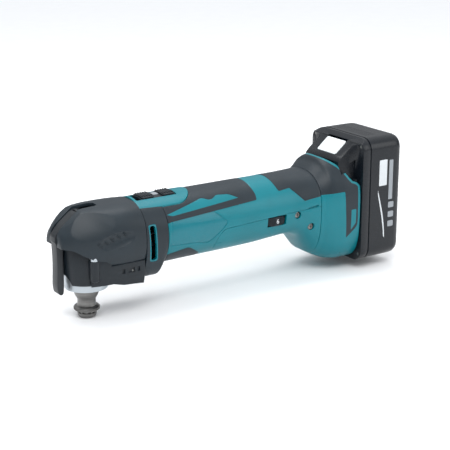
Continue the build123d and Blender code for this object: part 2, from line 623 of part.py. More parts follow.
def commutator():
    drum = rod_x(COMMUTATOR_RADIUS, COMMUTATOR_X, COMMUTATOR_X + COMMUTATOR_LENGTH)
    groove = block(COMMUTATOR_X + 2.5, COMMUTATOR_X + 20, -0.3, 0.3, COMMUTATOR_RADIUS - 0.8, 20)
    for i in range(COMMUTATOR_BARS):
        drum -= Pos(0, 0, HANDLE_AXIS_Z) * Rot(360 * i / COMMUTATOR_BARS, 0, 0) * groove
    return drum - rod_x(SHAFT_RADIUS, 0, FAR)


def brush_plate():
    """The motor's end bell: it carries the rear bearing and the two brush holders."""
    x0, x1 = REAR_BEARING_X - 2.5, REAR_BEARING_X
    plate = rod_x(YOKE_RADIUS, x0, x1) + rod_x(REAR_BEARING_RADIUS + 2.2, x1 - 1, x1 + 5.5)
    for side in (-1, 1):
        plate += block(YOKE_REAR_X + SEATED, x0 + 1, side * 19.5 - 2.5, side * 19.5 + 2.5,
                       HANDLE_AXIS_Z + BRUSH_HALF + 2, HANDLE_AXIS_Z + BRUSH_HALF + 5)
    plate -= rod_x(REAR_BEARING_RADIUS + SEATED, x1, FAR)
    return plate - rod_x(SHAFT_RADIUS + 1, 0, FAR)


def brush_holders():
    holders = []
    z, half = HANDLE_AXIS_Z, BRUSH_HALF
    for side in (-1, 1):
        y0, y1 = sorted((side * (COMMUTATOR_RADIUS + OPEN), side * (YOKE_RADIUS - 1)))
        holder = block(BRUSH_X - half - 1, BRUSH_X + half + 1, y0, y1, z - half - 1, z + half + 1)
        bore = block(BRUSH_X - half, BRUSH_X + half, y0 - 1, y1 + 1, z - half, z + half)
        holders.append(holder - bore)
    return holders


def carbon_brushes():
    brushes = []
    z, half = HANDLE_AXIS_Z, BRUSH_HALF - SEATED
    for side in (-1, 1):
        y0, y1 = sorted((side * (COMMUTATOR_RADIUS - 1), side * (COMMUTATOR_RADIUS + 8)))
        brush = block(BRUSH_X - half, BRUSH_X + half, y0, y1, z - half, z + half)
        brushes.append(brush - rod_x(COMMUTATOR_RADIUS + RUNNING, 0, FAR))
    return brushes


# ---- body casings -------------------------------------------------------------------------------

COVER_FRONT_X = BAND_REAR_X + 52
COVER_SEAM_Z = HANDLE_AXIS_Z - 3
VENT_X = HOOD_REAR_X + 7
SLOT_REAR_X = HOOD_REAR_X + 41.5
SLOT_FRONT_X = SLOT_REAR_X - KNOB_LENGTH - SWITCH_TRAVEL - 2 * SLIDING
DIAL_Y = -(HANDLE_RADIUS - 0.6 + 0.9 - DIAL_RADIUS)
DIAL_Z = COVER_SEAM_Z - DIAL_HEIGHT + 1
MOTOR_RINGS_X = (YOKE_FRONT_X + 3, YOKE_REAR_X - 12)
SCREW_PLACES = ((TAIL_FRONT_X - 24.6, COVER_SEAM_Z - 1.0), (TAIL_FRONT_X - 9.6, COVER_SEAM_Z - 14.0))


def cover_seam(clearance):
    """The joint between the barrel and the lower rear cover, seen from the side."""
    seam, x = COVER_SEAM_Z, COVER_FRONT_X
    c = clearance
    return [
        (x - 6 + c, 0), (x - 5 + c, seam - 17), (x - 3.5 + c, seam - 8), (x + c, seam - c),
        (TAIL_FRONT_X + 1, seam + 4 - c), (TAIL_FRONT_X + 1, 0),
    ]


def grip_sides():
    """Outlines of the soft inlays from the side."""
    x, tail, top = BAND_REAR_X + SEAM, TAIL_FRONT_X - SEAM, TOP_Z + 5
    front = [(x, 78), (x + 40, 83), (x + 71, 80), (x + 86, 75.5), (x + 89, top), (x, top)]
    rear = [(tail - 44, top), (tail - 41, 79), (tail - 28.5, 79.5), (tail - 16.5, 67.5), (tail, 68.5),
            (tail, top)]
    belly = [(x, 0), (x, 41.5), (x + 22, 45.5), (x + 36, 37), (x + 30, 0)]
    return front, rear, belly


def badge_side():
    x = BAND_REAR_X + SEAM
    return [(x + 0.9, 50), (x + 4, 71.7), (x + 45.5, 73.9), (x + 59, 62), (x + 50, 50), (x + 38, 43),
            (x + 22, 48.5)]


def island_outline(grow):
    """Straight flanks and a rounded rear tip, seen from above."""
    half = ISLAND_HALF_WIDTH + grow
    front = HOOD_REAR_X + SEAM
    rear = HOOD_REAR_X + ISLAND_LENGTH - half + grow
    tip = [(rear + half * cos(a * pi / 12), half * sin(a * pi / 12)) for a in range(-6, 7)]
    return [(front, -half), *tip, (front, half)]


def island_tool(grow):
    return plan_cut(island_outline(grow), HANDLE_AXIS_Z + 15, FAR)


def handle_outer():
    return handle_envelope() & bar(BAND_REAR_X + SEAM, TAIL_FRONT_X - SEAM, 60, -9, FAR)


def window(grow):
    """Where the speed dial shows in the left flank."""
    x, z = DIAL_X, DIAL_Z + DIAL_HEIGHT / 2
    return block(x - 11 - grow, x + 11 + grow, -60, -HANDLE_RADIUS + 9, z - 4.4 - grow, z + 4.4 + grow)


def main_shells():
    """The barrel and lower rear cover, with the soft inlays and badges let into them."""
    outer = handle_outer()
    core = handle_envelope(SKIN)
    hollow = handle_envelope(WALL)
    shell = outer - hollow
    front_side, rear_side, belly_side = grip_sides()
    island = island_tool(SEATED)
    grips = []
    for outline in (front_side, rear_side, belly_side):
        tool = side_cut(outline) - core
        grips.append(outer & tool)
        shell -= tool
    grips[0] -= island
    badge_core = handle_envelope(SKIN / 2)
    badge_tool = side_cut(badge_side()) - badge_core
    badges = outer & badge_tool
    shell -= badge_tool
    shell -= island
    seam = side_cut(cover_seam(-SEAM / 2))
    lower_seam = side_cut(cover_seam(SEAM / 2))
    cover = shell & lower_seam
    barrel = shell - seam
    for x in MOTOR_RINGS_X:
        ring = tube_x(HANDLE_RADIUS - WALL + 0.6, YOKE_RADIUS + SEATED, x, x + 2)
        barrel += ring - island - link_way(x - 1, x + 3)
    barrel -= window(0)
    cover -= window(0)
    for x, z in SCREW_PLACES:
        for side in (-1, 1):
            cover -= rod_y(3.4, side * 30 - 3.2, side * 30 + 3.2, x, z)
            cover -= rod_y(1.6 + SEATED, min(0, side * 60), max(0, side * 60), x, z)
            grips[1] -= rod_y(3.4, side * 30 - 3.2, side * 30 + 3.2, x, z)
            barrel -= rod_y(3.4, side * 30 - 3.2, side * 30 + 3.2, x, z)
    return barrel, cover, grips, badges


def body_screws():
    screws = []
    for x, z in SCREW_PLACES:
        for side in (-1, 1):
            y0, y1 = sorted((side * 16.0, side * 26.8))
            h0, h1 = sorted((side * (26.8 + SEATED), side * 28.2))
            screw = rod_y(1.6, y0, y1, x, z) + rod_y(3.1, h0 - SEATED, h1 + SEATED, x, z)
            screws.append(screw)
    return screws


def front_band():
    band = band_envelope() & bar(HOOD_REAR_X + SEAM, BAND_REAR_X - SEAM, 60, -9, FAR)
    band -= band_envelope(WALL)
    band -= rod_x(HANDLE_RADIUS - WALL, HOOD_REAR_X - 3, BAND_REAR_X + 3)
    band -= island_tool(SEATED)
    band -= vent_cut(0.8)
    return band


def vent_cut(grow):
    """A slanted slot through both flanks of the band."""
    x = VENT_X
    g = grow
    return side_cut([(x - 4 - g, 70 + g), (x - 2.6 - g, 42 - g), (x + 3.4 + g, 40.5 - g),
                     (x + 2 + g, 71 + g)])


def vent_frames():
    """The coloured edge of each vent, let into the band."""
    frame = band_envelope(0.2) - band_envelope(WALL - 0.2)
    frame &= vent_cut(0.8 - SEATED)
    frame -= vent_cut(-0.5)
    return [s for s in frame.solids()]


def switch_island():
    island = rod_x(HANDLE_RADIUS + 0.8, HOOD_REAR_X + SEAM, HOOD_REAR_X + ISLAND_LENGTH)
    island -= rod_x(HANDLE_RADIUS - WALL, 0, FAR)
    island &= island_tool(0)
    return island - bar(SLOT_FRONT_X, SLOT_REAR_X, KNOB_HALF_WIDTH + SLIDING, HANDLE_AXIS_Z, FAR)


# ---- switch, dial and electronics -----------------------------------------------------------------

SWITCH_X = YOKE_REAR_X + 30


def slide_switch():
    """The ribbed thumb slide, with the foot that reaches down to the link."""
    x1 = SLOT_REAR_X - SLIDING
    x0 = x1 - KNOB_LENGTH
    knob = rod_x(HANDLE_RADIUS + 2.8, x0, x1)
    knob &= bar(x0, x1, KNOB_HALF_WIDTH, HANDLE_AXIS_Z + HANDLE_RADIUS - WALL - 1.0, FAR)
    for i in range(8):
        x = x0 + 3 + i * 3.4
        if not SLOT_REAR_X - 24.5 < x < SLOT_REAR_X - 17:
            knob -= bar(x, x + 1.5, KNOB_HALF_WIDTH + 1, TOP_Z + 1.4, FAR)
    foot_low = HANDLE_AXIS_Z + YOKE_RADIUS + 1.0
    knob += bar(x0 + 8, x1 - 8, 4, foot_low + 1.4, TOP_Z - WALL)
    return knob


def switch_link():
    low = HANDLE_AXIS_Z + YOKE_RADIUS + 1.0
    x1 = SLOT_REAR_X - SLIDING
    link = bar(x1 - KNOB_LENGTH + 6, SWITCH_X + 5, 5, low, low + 1.3)
    return link + bar(SWITCH_X + 3, SWITCH_X + 5, 5, low - 5, low + 1)


def switch_module():
    top = HANDLE_AXIS_Z + YOKE_RADIUS - 4.5
    box = bar(SWITCH_X - 3, SWITCH_X + 24, 8.5, top - 16, top)
    box += bar(SWITCH_X + 8, SWITCH_X + 12, 3, top - 1, top + 2.5)
    return fillet(box.edges().filter_by(Axis.Z), 0.8)


def speed_dial():
    dial = rod(DIAL_RADIUS, DIAL_Z, DIAL_Z + DIAL_HEIGHT, DIAL_X, DIAL_Y)
    groove = Pos(DIAL_RADIUS, 0, 0) * Box(0.9, 0.9, DIAL_HEIGHT + 2)
    place = Pos(DIAL_X, DIAL_Y, DIAL_Z + DIAL_HEIGHT / 2)
    dial -= [place * Rot(0, 0, 10 * i) * groove for i in range(36)]
    return dial - rod(2, 0, FAR, DIAL_X, DIAL_Y)


def controller_board():
    low = DIAL_Z - 3.6
    board = bar(SWITCH_X + 12, TAIL_FRONT_X - 6, 19, low, low + 1.6)
    board += rod(2 - RUNNING, low + 1, DIAL_Z + DIAL_HEIGHT - 1, DIAL_X, DIAL_Y)
    board += block(DIAL_X - 6, DIAL_X + 6, DIAL_Y - 5, DIAL_Y + 5, low + 1, DIAL_Z - 0.6)
    for back, y, size in ((25, 6, 7), (17, 6, 5), (25, -8, 6), (15, -8, 6)):
        board += rod(size / 2, low + 1, low + 10, TAIL_FRONT_X - back, y)
    return board


def power_leads():
    """Two insulated leads from the brush holders to the battery terminals."""
    leads = []
    x0, x1 = BRUSH_X + BRUSH_HALF + 1.5, TAIL_FRONT_X + 17
    for side in (-1, 1):
        leads.append(rod_x(1.3, REAR_BEARING_X + 1, x1, side * 22, HANDLE_AXIS_Z + 7))
    return leads


# ---- tail ---------------------------------------------------------------------------------------

RIM_X = TAIL_FRONT_X + 14
RIM_Z = HANDLE_AXIS_Z + TAIL_RISE - 0.5
RIM_FALL = 24.0
RAIL_PLATE_X = TAIL_REAR_X - 22
RAIL_PLATE_THICKNESS = 4.4
BLOCK_FRONT_X = RAIL_PLATE_X + RAIL_PLATE_THICKNESS + SLIDING
RAIL_INNER_Y = 19.0
RAIL_NECK = 3.5
RAIL_HOOK = 4.0
RAIL_DEPTH = 3.2
RAIL_HEAD = 2.6
RAIL_LOW_Z = BATTERY_BOTTOM_Z + 12
BLADE_Y = 9.0
BLADE_LOW_Z = RAIL_LOW_Z + 6


def tail_cut(drop=0.0):
    """What the slanted opening takes away, seen from the side."""
    rear, foot_z = TAIL_REAR_X - SEAM, RIM_Z - RIM_FALL - drop
    return side_cut([(RIM_X, RIM_Z - drop), (RIM_X + RIM_FALL, foot_z), (rear, foot_z - 2), (rear, 0),
                     (FAR, 0), (FAR, FAR), (RIM_X, FAR)])


def grip_of_tail():
    """The soft inlay on top of the tail, seen from the side."""
    x = TAIL_FRONT_X + SEAM
    return [(x, 70), (x + 12, 70), (x + 12.5, 88), (x + 10.5, FAR), (x, FAR)]


def tail_shells():
    outer = tail_envelope() & bar(TAIL_FRONT_X + SEAM, TAIL_REAR_X + 1, 60, -9, FAR)
    outer -= tail_cut()
    # the battery's block slides out upwards between the shoulders
    outer -= bar(BLOCK_FRONT_X - SLIDING, FAR, BLOCK_HALF_WIDTH + 2 * SLIDING, RAIL_TOP_Z, FAR)
    shell = outer - tail_envelope(WALL)
    grip_tool = side_cut(grip_of_tail()) - tail_envelope(SKIN)
    grip = outer & grip_tool
    return shell - grip_tool, grip


def rail_plate():
    """The wall that closes the tail, with the two T rails that hold the battery."""
    x0, x1 = RAIL_PLATE_X, RAIL_PLATE_X + RAIL_PLATE_THICKNESS
    plate = tail_envelope(WALL + SEATED) & bar(x0, x1, 60, -9, FAR)
    plate -= tail_cut(1.5)
    for side in (-1, 1):
        y0 = side * RAIL_INNER_Y
        neck = sorted((y0, y0 + side * RAIL_NECK))
        head = sorted((y0, y0 + side * (RAIL_NECK + RAIL_HOOK)))
        plate += block(x1 - 1, x1 + RAIL_DEPTH + 0.1, *neck, RAIL_LOW_Z, RAIL_TOP_Z)
        plate += block(x1 + RAIL_DEPTH, x1 + RAIL_DEPTH + RAIL_HEAD, *head, RAIL_LOW_Z, RAIL_TOP_Z)
        plate -= blade(side, SEATED)
    # the latch's notch, open at the top
    return plate - bar(x1 - 2.4, FAR, 7, LATCH_Z - 1, FAR)


LATCH_Z = RAIL_TOP_Z + 3.5


def blade(side, grow):
    y = side * BLADE_Y
    x0 = RAIL_PLATE_X - 6
    return block(x0 - grow, x0 + 20 + grow, y - 0.4 - grow, y + 0.4 + grow, BLADE_LOW_Z - grow,
                 BLADE_LOW_Z + 12 + grow)


def tool_terminals():
    return [blade(side, 0) for side in (-1, 1)]


# ---- battery ------------------------------------------------------------------------------------

def battery_outline(x0, x1, inset):
    width, height = BATTERY_WIDTH - 2 * inset, BATTERY_HEIGHT - 2 * inset
    outline = RectangleRounded(width, height, BATTERY_CORNER - inset)
    middle = BATTERY_BOTTOM_Z + BATTERY_HEIGHT / 2
    return extrude(Plane((x0, 0, middle), x_dir=(0, 1, 0), z_dir=(1, 0, 0)) * outline, amount=x1 - x0)


def battery_case_rear():
    case = battery_outline(BATTERY_SPLIT_X + SEAM / 2, BATTERY_REAR_X, 0)
    case = fillet(case.faces().sort_by(Axis.X)[-1].edges(), 5.0)
    case -= battery_outline(BATTERY_SPLIT_X - 1, BATTERY_REAR_X - BATTERY_WALL, BATTERY_WALL + 1.2)
    for y, z in battery_screw_places():
        for side in (-1, 1):
            case -= rod_x(1.5 + SEATED, BATTERY_SPLIT_X - 1, BATTERY_SPLIT_X + 3, side * y, z)
    return case


def battery_screw_places():
    y = BATTERY_WIDTH / 2 - 4.4
    return [(y, BATTERY_BOTTOM_Z + 6.5), (y, BATTERY_TOP_Z - 6.5)]


def hump_side():
    x0, x1 = BLOCK_FRONT_X, BATTERY_FRONT_X + 1
    low = RAIL_LOW_Z - 2
    return [(x0, low), (x0, BATTERY_TOP_Z - 20), (x0 + 4, BATTERY_TOP_Z - 16), (x1, BATTERY_TOP_Z - 4),
            (x1, low)]


BUTTON_LOW_X = BLOCK_FRONT_X + 5.5
BUTTON_SLOPE = 41.0


def button_box(grow, depth):
    """A block lying in the hump's slope."""
    length = 17.0
    place = Pos(BUTTON_LOW_X + 6.2, 0, BATTERY_TOP_Z - 8.4) * Rot(0, -BUTTON_SLOPE, 0)
    half = BUTTON_HALF_WIDTH + grow
    return place * Pos(0, 0, -depth / 2) * Box(length + 2 * grow, 2 * half, depth)


def battery_case_front():
    plate = battery_outline(BATTERY_FRONT_X, BATTERY_SPLIT_X - SEAM / 2, 0)
    plate -= battery_outline(BATTERY_FRONT_X + BATTERY_WALL, BATTERY_SPLIT_X + 1, BATTERY_WALL + 1.2)
    low, high = RAIL_LOW_Z - 2, RAIL_TOP_Z + 2.5
    hump = side_cut(hump_side(), BLOCK_HALF_WIDTH)
    hump -= side_cut([(0, high), (0, FAR), (FAR, FAR), (FAR, high)]) - bar(0, FAR, HUMP_HALF_WIDTH, 0, FAR)
    slope_end = BATTERY_FRONT_X + 1
    case = plate + hump - side_cut([(slope_end, BATTERY_TOP_Z - 4), (slope_end + 4.6, BATTERY_TOP_Z + 0.1),
                                    (slope_end - 4, BATTERY_TOP_Z + 0.1), (slope_end - 4, BATTERY_TOP_Z - 4)])
    x1 = BLOCK_FRONT_X
    c = SLIDING
    for side in (-1, 1):
        y0 = side * (RAIL_INNER_Y - c)
        neck = sorted((y0, y0 + side * (RAIL_NECK + 2 * c)))
        head = sorted((y0, y0 + side * (RAIL_NECK + RAIL_HOOK + 2 * c)))
        case -= block(x1 - 1, x1 + RAIL_DEPTH, *neck, 0, RAIL_TOP_Z + c)
        case -= block(x1 + RAIL_DEPTH - 2 * c, x1 + RAIL_DEPTH + RAIL_HEAD, *head, 0, RAIL_TOP_Z + c)
        y = side * BLADE_Y
        case -= block(x1 - 1, x1 + 12, y - 1.2, y + 1.2, 0, BLADE_LOW_Z + 14)
    # room for the release button and its spring, open to the cells' space behind
    case -= button_box(SLIDING, 30) & bar(x1 + 3, BATTERY_SPLIT_X + 1, 30, BATTERY_TOP_Z - 24, FAR)
    case -= bar(x1 - 1, x1 + 8, 6.6, LATCH_Z, LATCH_Z + 5)
    case -= bar(x1 + 14, BATTERY_SPLIT_X + 1, 15, RAIL_LOW_Z + 2, BATTERY_TOP_Z - 26)
    for y, z in battery_screw_places():
        for side in (-1, 1):
            case += rod_x(3, BATTERY_FRONT_X, BATTERY_SPLIT_X - SEAM / 2, side * y, z)
            case -= rod_x(1.5 + SEATED, BATTERY_FRONT_X - 1, FAR, side * y, z)
    return case


def battery_button():
    button = button_box(0, 5)
    return button


def battery_cells():
    cells = []
    x0 = BATTERY_SPLIT_X + 1.0 + CELL_RADIUS - 4.6
    pitch = 2 * CELL_RADIUS + 0.4
    rows = int((BATTERY_HEIGHT - 2 * (BATTERY_WALL + 1.2)) / pitch)
    for i in range(2):
        for j in range(rows):
            x = x0 + i * pitch
            z = BATTERY_BOTTOM_Z + BATTERY_HEIGHT / 2 + (j - (rows - 1) / 2) * pitch
            cells.append(rod_y(CELL_RADIUS, -CELL_LENGTH / 2, CELL_LENGTH / 2, x, z))
    return cells


def battery_screws():
    screws = []
    for y, z in battery_screw_places():
        for side in (-1, 1):
            screw = rod_x(1.5, BATTERY_FRONT_X + 0.4, BATTERY_SPLIT_X + 2.6, side * y, z)
            screws.append(screw)
    return screws


def battery_labels():
    """A plain plate on each flank of the battery."""
    y = BATTERY_WIDTH / 2
    z = BATTERY_BOTTOM_Z + BATTERY_HEIGHT / 2
    x0, x1 = BATTERY_SPLIT_X + 6, BATTERY_REAR_X - 8
    return [block(x0, x1, *sorted((side * y, side * (y + 0.3))), z - 34, z + 34) for side in (-1, 1)]


# ---- build --------------------------------------------------------------------------------------

def build():
    lower_bearing, upper_bearing = spindle_bearings()
    front_bearing, rear_bearing = motor_bearings()
    barrel, cover, grips, badges = main_shells()
    tail, tail_grip = tail_shells()
    nodes = {
        "gear_housing": gear_housing(),
        "head_cover": head_cover(),
        "head_lower_cover": head_lower_cover(),
        "head_screws": head_screws(),
        "led_lens": led_lens(),
        "spindle": spindle(),
        "spindle_lower_bearing": lower_bearing,
        "spindle_upper_bearing": upper_bearing,
        "retaining_ring": retaining_ring(),
        "fork_arm": fork_arm(),
        "clamp_shaft": clamp_shaft(),
        "clamp_spring": clamp_spring(),
        "holder_bolt": holder_bolt(),
        "lever_cam": lever_cam(),
        "clamp_lever": clamp_lever(),
        "lever_pin": lever_pin(),
        "rotor_shaft": rotor_shaft(),
        "eccentric_bearing": eccentric_bearing(),
        "motor_front_bearing": front_bearing,
        "motor_rear_bearing": rear_bearing,
        "cooling_fan": cooling_fan(),
        "baffle_plate": baffle_plate(),
        "motor_yoke": motor_yoke(),
        "motor_magnets": motor_magnets(),
        "rotor_core": rotor_core(),
        "armature_windings": armature_windings(),
        "commutator": commutator(),
        "brush_plate": brush_plate(),
        "brush_holders": brush_holders(),
        "carbon_brushes": carbon_brushes(),
        "front_band": front_band(),
        "vent_frames": vent_frames(),
        "barrel": barrel,
        "lower_rear_cover": cover,
        "front_grip": grips[0],
        "rear_grip": grips[1],
        "belly_grip": grips[2],
        "badge_plates": badges.solids(),
        "switch_island": switch_island(),
        "slide_switch": slide_switch(),
        "switch_link": switch_link(),
        "switch_module": switch_module(),
        "speed_dial": speed_dial(),
        "controller_board": controller_board(),
        "power_leads": power_leads(),
        "body_screws": body_screws(),
        "tail_housing": tail,
        "tail_grip": tail_grip,
        "rail_plate": rail_plate(),
        "tool_terminals": tool_terminals(),
        "battery_case_front": battery_case_front(),
        "battery_case_rear": battery_case_rear(),
        "battery_button": battery_button(),
        "battery_cells": battery_cells(),
        "battery_screws": battery_screws(),
        "battery_labels": battery_labels(),
    }
    for name, shape in nodes.items():
        save(shape, name)


build()
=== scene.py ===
# %% [markdown]
# # A cordless oscillating multi tool
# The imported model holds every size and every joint. This lesson dresses it: smooth moulded casings, soft
# grips, a ribbed thumb slide, a numbered dial and a battery pack. Lengths below are millimetres, and one
# constant turns them into metres.

# %% Load the frame
import bpy, bmesh, math
import numpy as np
from mathutils import Matrix, Vector


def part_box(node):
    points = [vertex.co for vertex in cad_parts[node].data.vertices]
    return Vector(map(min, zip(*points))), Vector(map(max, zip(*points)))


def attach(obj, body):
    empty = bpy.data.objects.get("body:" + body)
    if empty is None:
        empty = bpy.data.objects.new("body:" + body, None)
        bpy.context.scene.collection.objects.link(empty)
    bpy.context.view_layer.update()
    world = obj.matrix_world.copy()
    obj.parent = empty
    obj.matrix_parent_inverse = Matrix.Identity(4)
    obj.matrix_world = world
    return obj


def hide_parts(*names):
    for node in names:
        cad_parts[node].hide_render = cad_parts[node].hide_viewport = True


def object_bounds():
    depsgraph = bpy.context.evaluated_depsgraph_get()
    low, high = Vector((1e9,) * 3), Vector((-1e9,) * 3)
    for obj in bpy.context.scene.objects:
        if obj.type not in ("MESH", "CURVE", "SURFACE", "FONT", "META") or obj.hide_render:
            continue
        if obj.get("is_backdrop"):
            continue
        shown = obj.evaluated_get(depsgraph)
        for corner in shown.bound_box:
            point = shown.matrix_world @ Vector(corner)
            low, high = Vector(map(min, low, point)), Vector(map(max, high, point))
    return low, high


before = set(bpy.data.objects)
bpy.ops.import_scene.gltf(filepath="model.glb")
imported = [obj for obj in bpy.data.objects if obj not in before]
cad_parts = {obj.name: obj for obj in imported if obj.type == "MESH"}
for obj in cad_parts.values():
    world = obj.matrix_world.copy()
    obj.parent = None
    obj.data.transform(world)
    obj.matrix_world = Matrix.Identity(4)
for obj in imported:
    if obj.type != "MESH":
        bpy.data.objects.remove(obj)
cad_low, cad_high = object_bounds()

MM = 0.001


# %% [markdown]
# Places come from the frame. A small reader gives a node's box in millimetres, and the stations along the
# tool are named once, so that every casing meets its neighbour at the same joint line.

# %% Stations along the tool
def box_mm(node):
    low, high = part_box(node)
    return np.array(low) / MM, np.array(high) / MM


def middle(node):
    low, high = box_mm(node)
    return (low + high) / 2


HOOD_X, HOOD_END_X = box_mm("head_cover")[0][0], box_mm("head_cover")[1][0]
BAND_X, BAND_END_X = box_mm("front_band")[0][0], box_mm("front_band")[1][0]
BODY_X, BODY_END_X = box_mm("barrel")[0][0], box_mm("barrel")[1][0]
TAIL_X, TAIL_END_X = box_mm("tail_housing")[0][0], box_mm("tail_housing")[1][0]
PACK_X, PACK_END_X = TAIL_END_X + 1.0, box_mm("battery_case_rear")[1][0]
AXIS_Z = middle("motor_yoke")[2]
RADIUS = box_mm("barrel")[1][2] - AXIS_Z
TOP_Z = AXIS_Z + RADIUS
HOOD_HALF = box_mm("head_cover")[1][1]
TAIL_HALF = box_mm("tail_housing")[1][1]
TAIL_TOP_Z, TAIL_LOW_Z = box_mm("tail_housing")[1][2], box_mm("tail_housing")[0][2]
CASE_HALF = box_mm("battery_case_rear")[1][1]
CASE_LOW_Z, CASE_TOP_Z = box_mm("battery_case_rear")[0][2], box_mm("battery_case_rear")[1][2]
SPLIT_X = box_mm("battery_case_rear")[0][0]
WALL = 2.6
SKIN = 1.4
PACK_WALL = 3.4
PACK_CORNER = 11
FAR_SIDE = 60
FAR_UP = 130
print("handle radius", round(RADIUS, 2), "about z", round(AXIS_Z, 2))


# %% [markdown]
# ## Making solids
# A moulded casing is a loft: one rounded outline after another along the tool. Subdivision of a few boxes
# would also be smooth, but its outline would only come near the sizes. Here each ring is worked out from a
# superellipse, whose power says how square it is, and the rings between the stated ones follow a smooth
# curve.

# %% Meshes from rings
STEPS = 96


def new_piece(name, vertices, faces):
    mesh = bpy.data.meshes.new(name)
    mesh.from_pydata([tuple(c * MM for c in v) for v in vertices], [], faces)
    mesh.update()
    piece = bpy.data.objects.new(name, mesh)
    bpy.context.scene.collection.objects.link(piece)
    return piece


def tidy(piece, smooth_angle=35):
    """Merge doubles, turn the faces outwards and shade flat only across hard edges."""
    bm = bmesh.new()
    bm.from_mesh(piece.data)
    bmesh.ops.remove_doubles(bm, verts=bm.verts, dist=1e-6)
    bmesh.ops.dissolve_degenerate(bm, edges=bm.edges, dist=1e-6)
    bmesh.ops.recalc_face_normals(bm, faces=bm.faces)
    bm.to_mesh(piece.data)
    bm.free()
    piece.data.shade_smooth()
    piece.data.set_sharp_from_angle(angle=math.radians(smooth_angle))
    return piece


def super_ring(x, half, drop, rise, low_power, high_power, inset=0.0, z_mid=None):
    """One superellipse across the tool, with its own power above and below the axis."""
    z_mid = AXIS_Z if z_mid is None else z_mid
    ring = []
    for i in range(STEPS):
        a = 2 * math.pi * i / STEPS
        c, s = math.cos(a), math.sin(a)
        power, reach = (high_power, rise) if s >= 0 else (low_power, drop)
        y = (half - inset) * math.copysign(abs(c) ** (2 / power), c)
        z = z_mid + (reach - inset) * math.copysign(abs(s) ** (2 / power), s)
        ring.append((x, y, z))
    return ring


def smooth_rows(rows, count):
    """More rows between the stated ones, on a monotone cubic through each column."""
    rows = np.array(rows, float)
    x = rows[:, 0]
    out = [np.linspace(x[0], x[-1], count)]
    h = np.diff(x)
    for column in rows.T[1:]:
        d = np.diff(column) / h
        m = np.zeros(len(x))
        m[0], m[-1] = d[0], d[-1]
        for i in range(1, len(x) - 1):
            if d[i - 1] * d[i] > 0:
                w1, w2 = 2 * h[i] + h[i - 1], h[i] + 2 * h[i - 1]
                m[i] = (w1 + w2) / (w1 / d[i - 1] + w2 / d[i])
        k = np.clip(np.searchsorted(x, out[0], side="right") - 1, 0, len(h) - 1)
        t = (out[0] - x[k]) / h[k]
        a, b = 2 * t**3 - 3 * t**2 + 1, t**3 - 2 * t**2 + t
        near, far = a * column[k] + b * h[k] * m[k], (t**3 - t**2) * h[k] * m[k + 1]
        out.append(near + (1 - a) * column[k + 1] + far)
    return np.array(out).T


def loft(name, rings):
    """A closed solid through rings of equal length, capped at both ends."""
    n = len(rings[0])
    vertices = [p for ring in rings for p in ring]
    faces = [tuple(range(n))[::-1], tuple(range(len(vertices) - n, len(vertices)))]
    for r in range(len(rings) - 1):
        for i in range(n):
            j = (i + 1) % n
            faces.append((r * n + i, r * n + j, (r + 1) * n + j, (r + 1) * n + i))
    return tidy(new_piece(name, vertices, faces))


def envelope(name, rows, inset=0.0, count=44, stretch=0.0):
    """The outer skin of a casing, or what lies inset from it. stretch carries the ends past the casing."""
    rows = smooth_rows(rows, count)
    rows[0][0] -= stretch
    rows[-1][0] += stretch
    return loft(name, [super_ring(*row, inset=inset) for row in rows])


def prism(name, outline, axis, low, high):
    """A straight solid along one axis from an outline in the other two."""
    order = {"X": (2, 0, 1), "Y": (0, 2, 1), "Z": (0, 1, 2)}[axis]
    vertices = []
    for level in (low, high):
        for u, v in outline:
            flat = (u, v, level)
            vertices.append(tuple(flat[i] for i in order))
    n = len(outline)
    faces = [tuple(range(n))[::-1], tuple(range(n, 2 * n))]
    faces += [(i, (i + 1) % n, n + (i + 1) % n, n + i) for i in range(n)]
    return tidy(new_piece(name, vertices, faces), 20)


print("rings have", STEPS, "points")


# %% [markdown]
# ## Cutting and softening
# Joint lines, slots and inlays are cut with Blender's exact booleans, because their outlines are straight
# prisms. Each tool is thrown away after its cut. A narrow bevel on the hard edges then catches the light
# as a moulded edge does.

# %% Cut, join and bevel
def bake_mesh(piece):
    """Replace a piece's mesh by what its modifiers make of it."""
    bpy.context.view_layer.update()
    evaluated = piece.evaluated_get(bpy.context.evaluated_depsgraph_get())
    mesh = bpy.data.meshes.new_from_object(evaluated)
    piece.modifiers.clear()
    old, piece.data = piece.data, mesh
    bpy.data.meshes.remove(old)
    return piece


def combine(piece, tools, operation="DIFFERENCE", keep=False):
    for tool in tools if isinstance(tools, list) else [tools]:
        cut = piece.modifiers.new("cut", "BOOLEAN")
        cut.operation, cut.object, cut.solver = operation, tool, "EXACT"
        bake_mesh(piece)
        if not keep:
            drop(tool)
    return piece


def drop(piece):
    mesh = piece.data
    bpy.data.objects.remove(piece)
    bpy.data.meshes.remove(mesh)


def copy_of(piece, name):
    twin = bpy.data.objects.new(name, piece.data.copy())
    bpy.context.scene.collection.objects.link(twin)
    return twin


def copy_node(node, name):
    """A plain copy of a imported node's mesh in the shared frame."""
    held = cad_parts[node]
    mesh = held.data.copy()
    mesh.transform(held.matrix_world)
    piece = bpy.data.objects.new(name, mesh)
    bpy.context.scene.collection.objects.link(piece)
    return tidy(piece, 30)


def side_prism(outline):
    """A straight tool through both flanks."""
    return prism("side", outline, "Y", -FAR_SIDE, FAR_SIDE)


def soften(piece, width=0.35, segments=2, angle=32):
    bevel = piece.modifiers.new("edge", "BEVEL")
    bevel.width, bevel.segments = width * MM, segments
    bevel.limit_method, bevel.angle_limit = "ANGLE", math.radians(angle)
    bevel.use_clamp_overlap = True
    bevel.harden_normals = False
    bake_mesh(piece)
    return tidy(piece, 40)


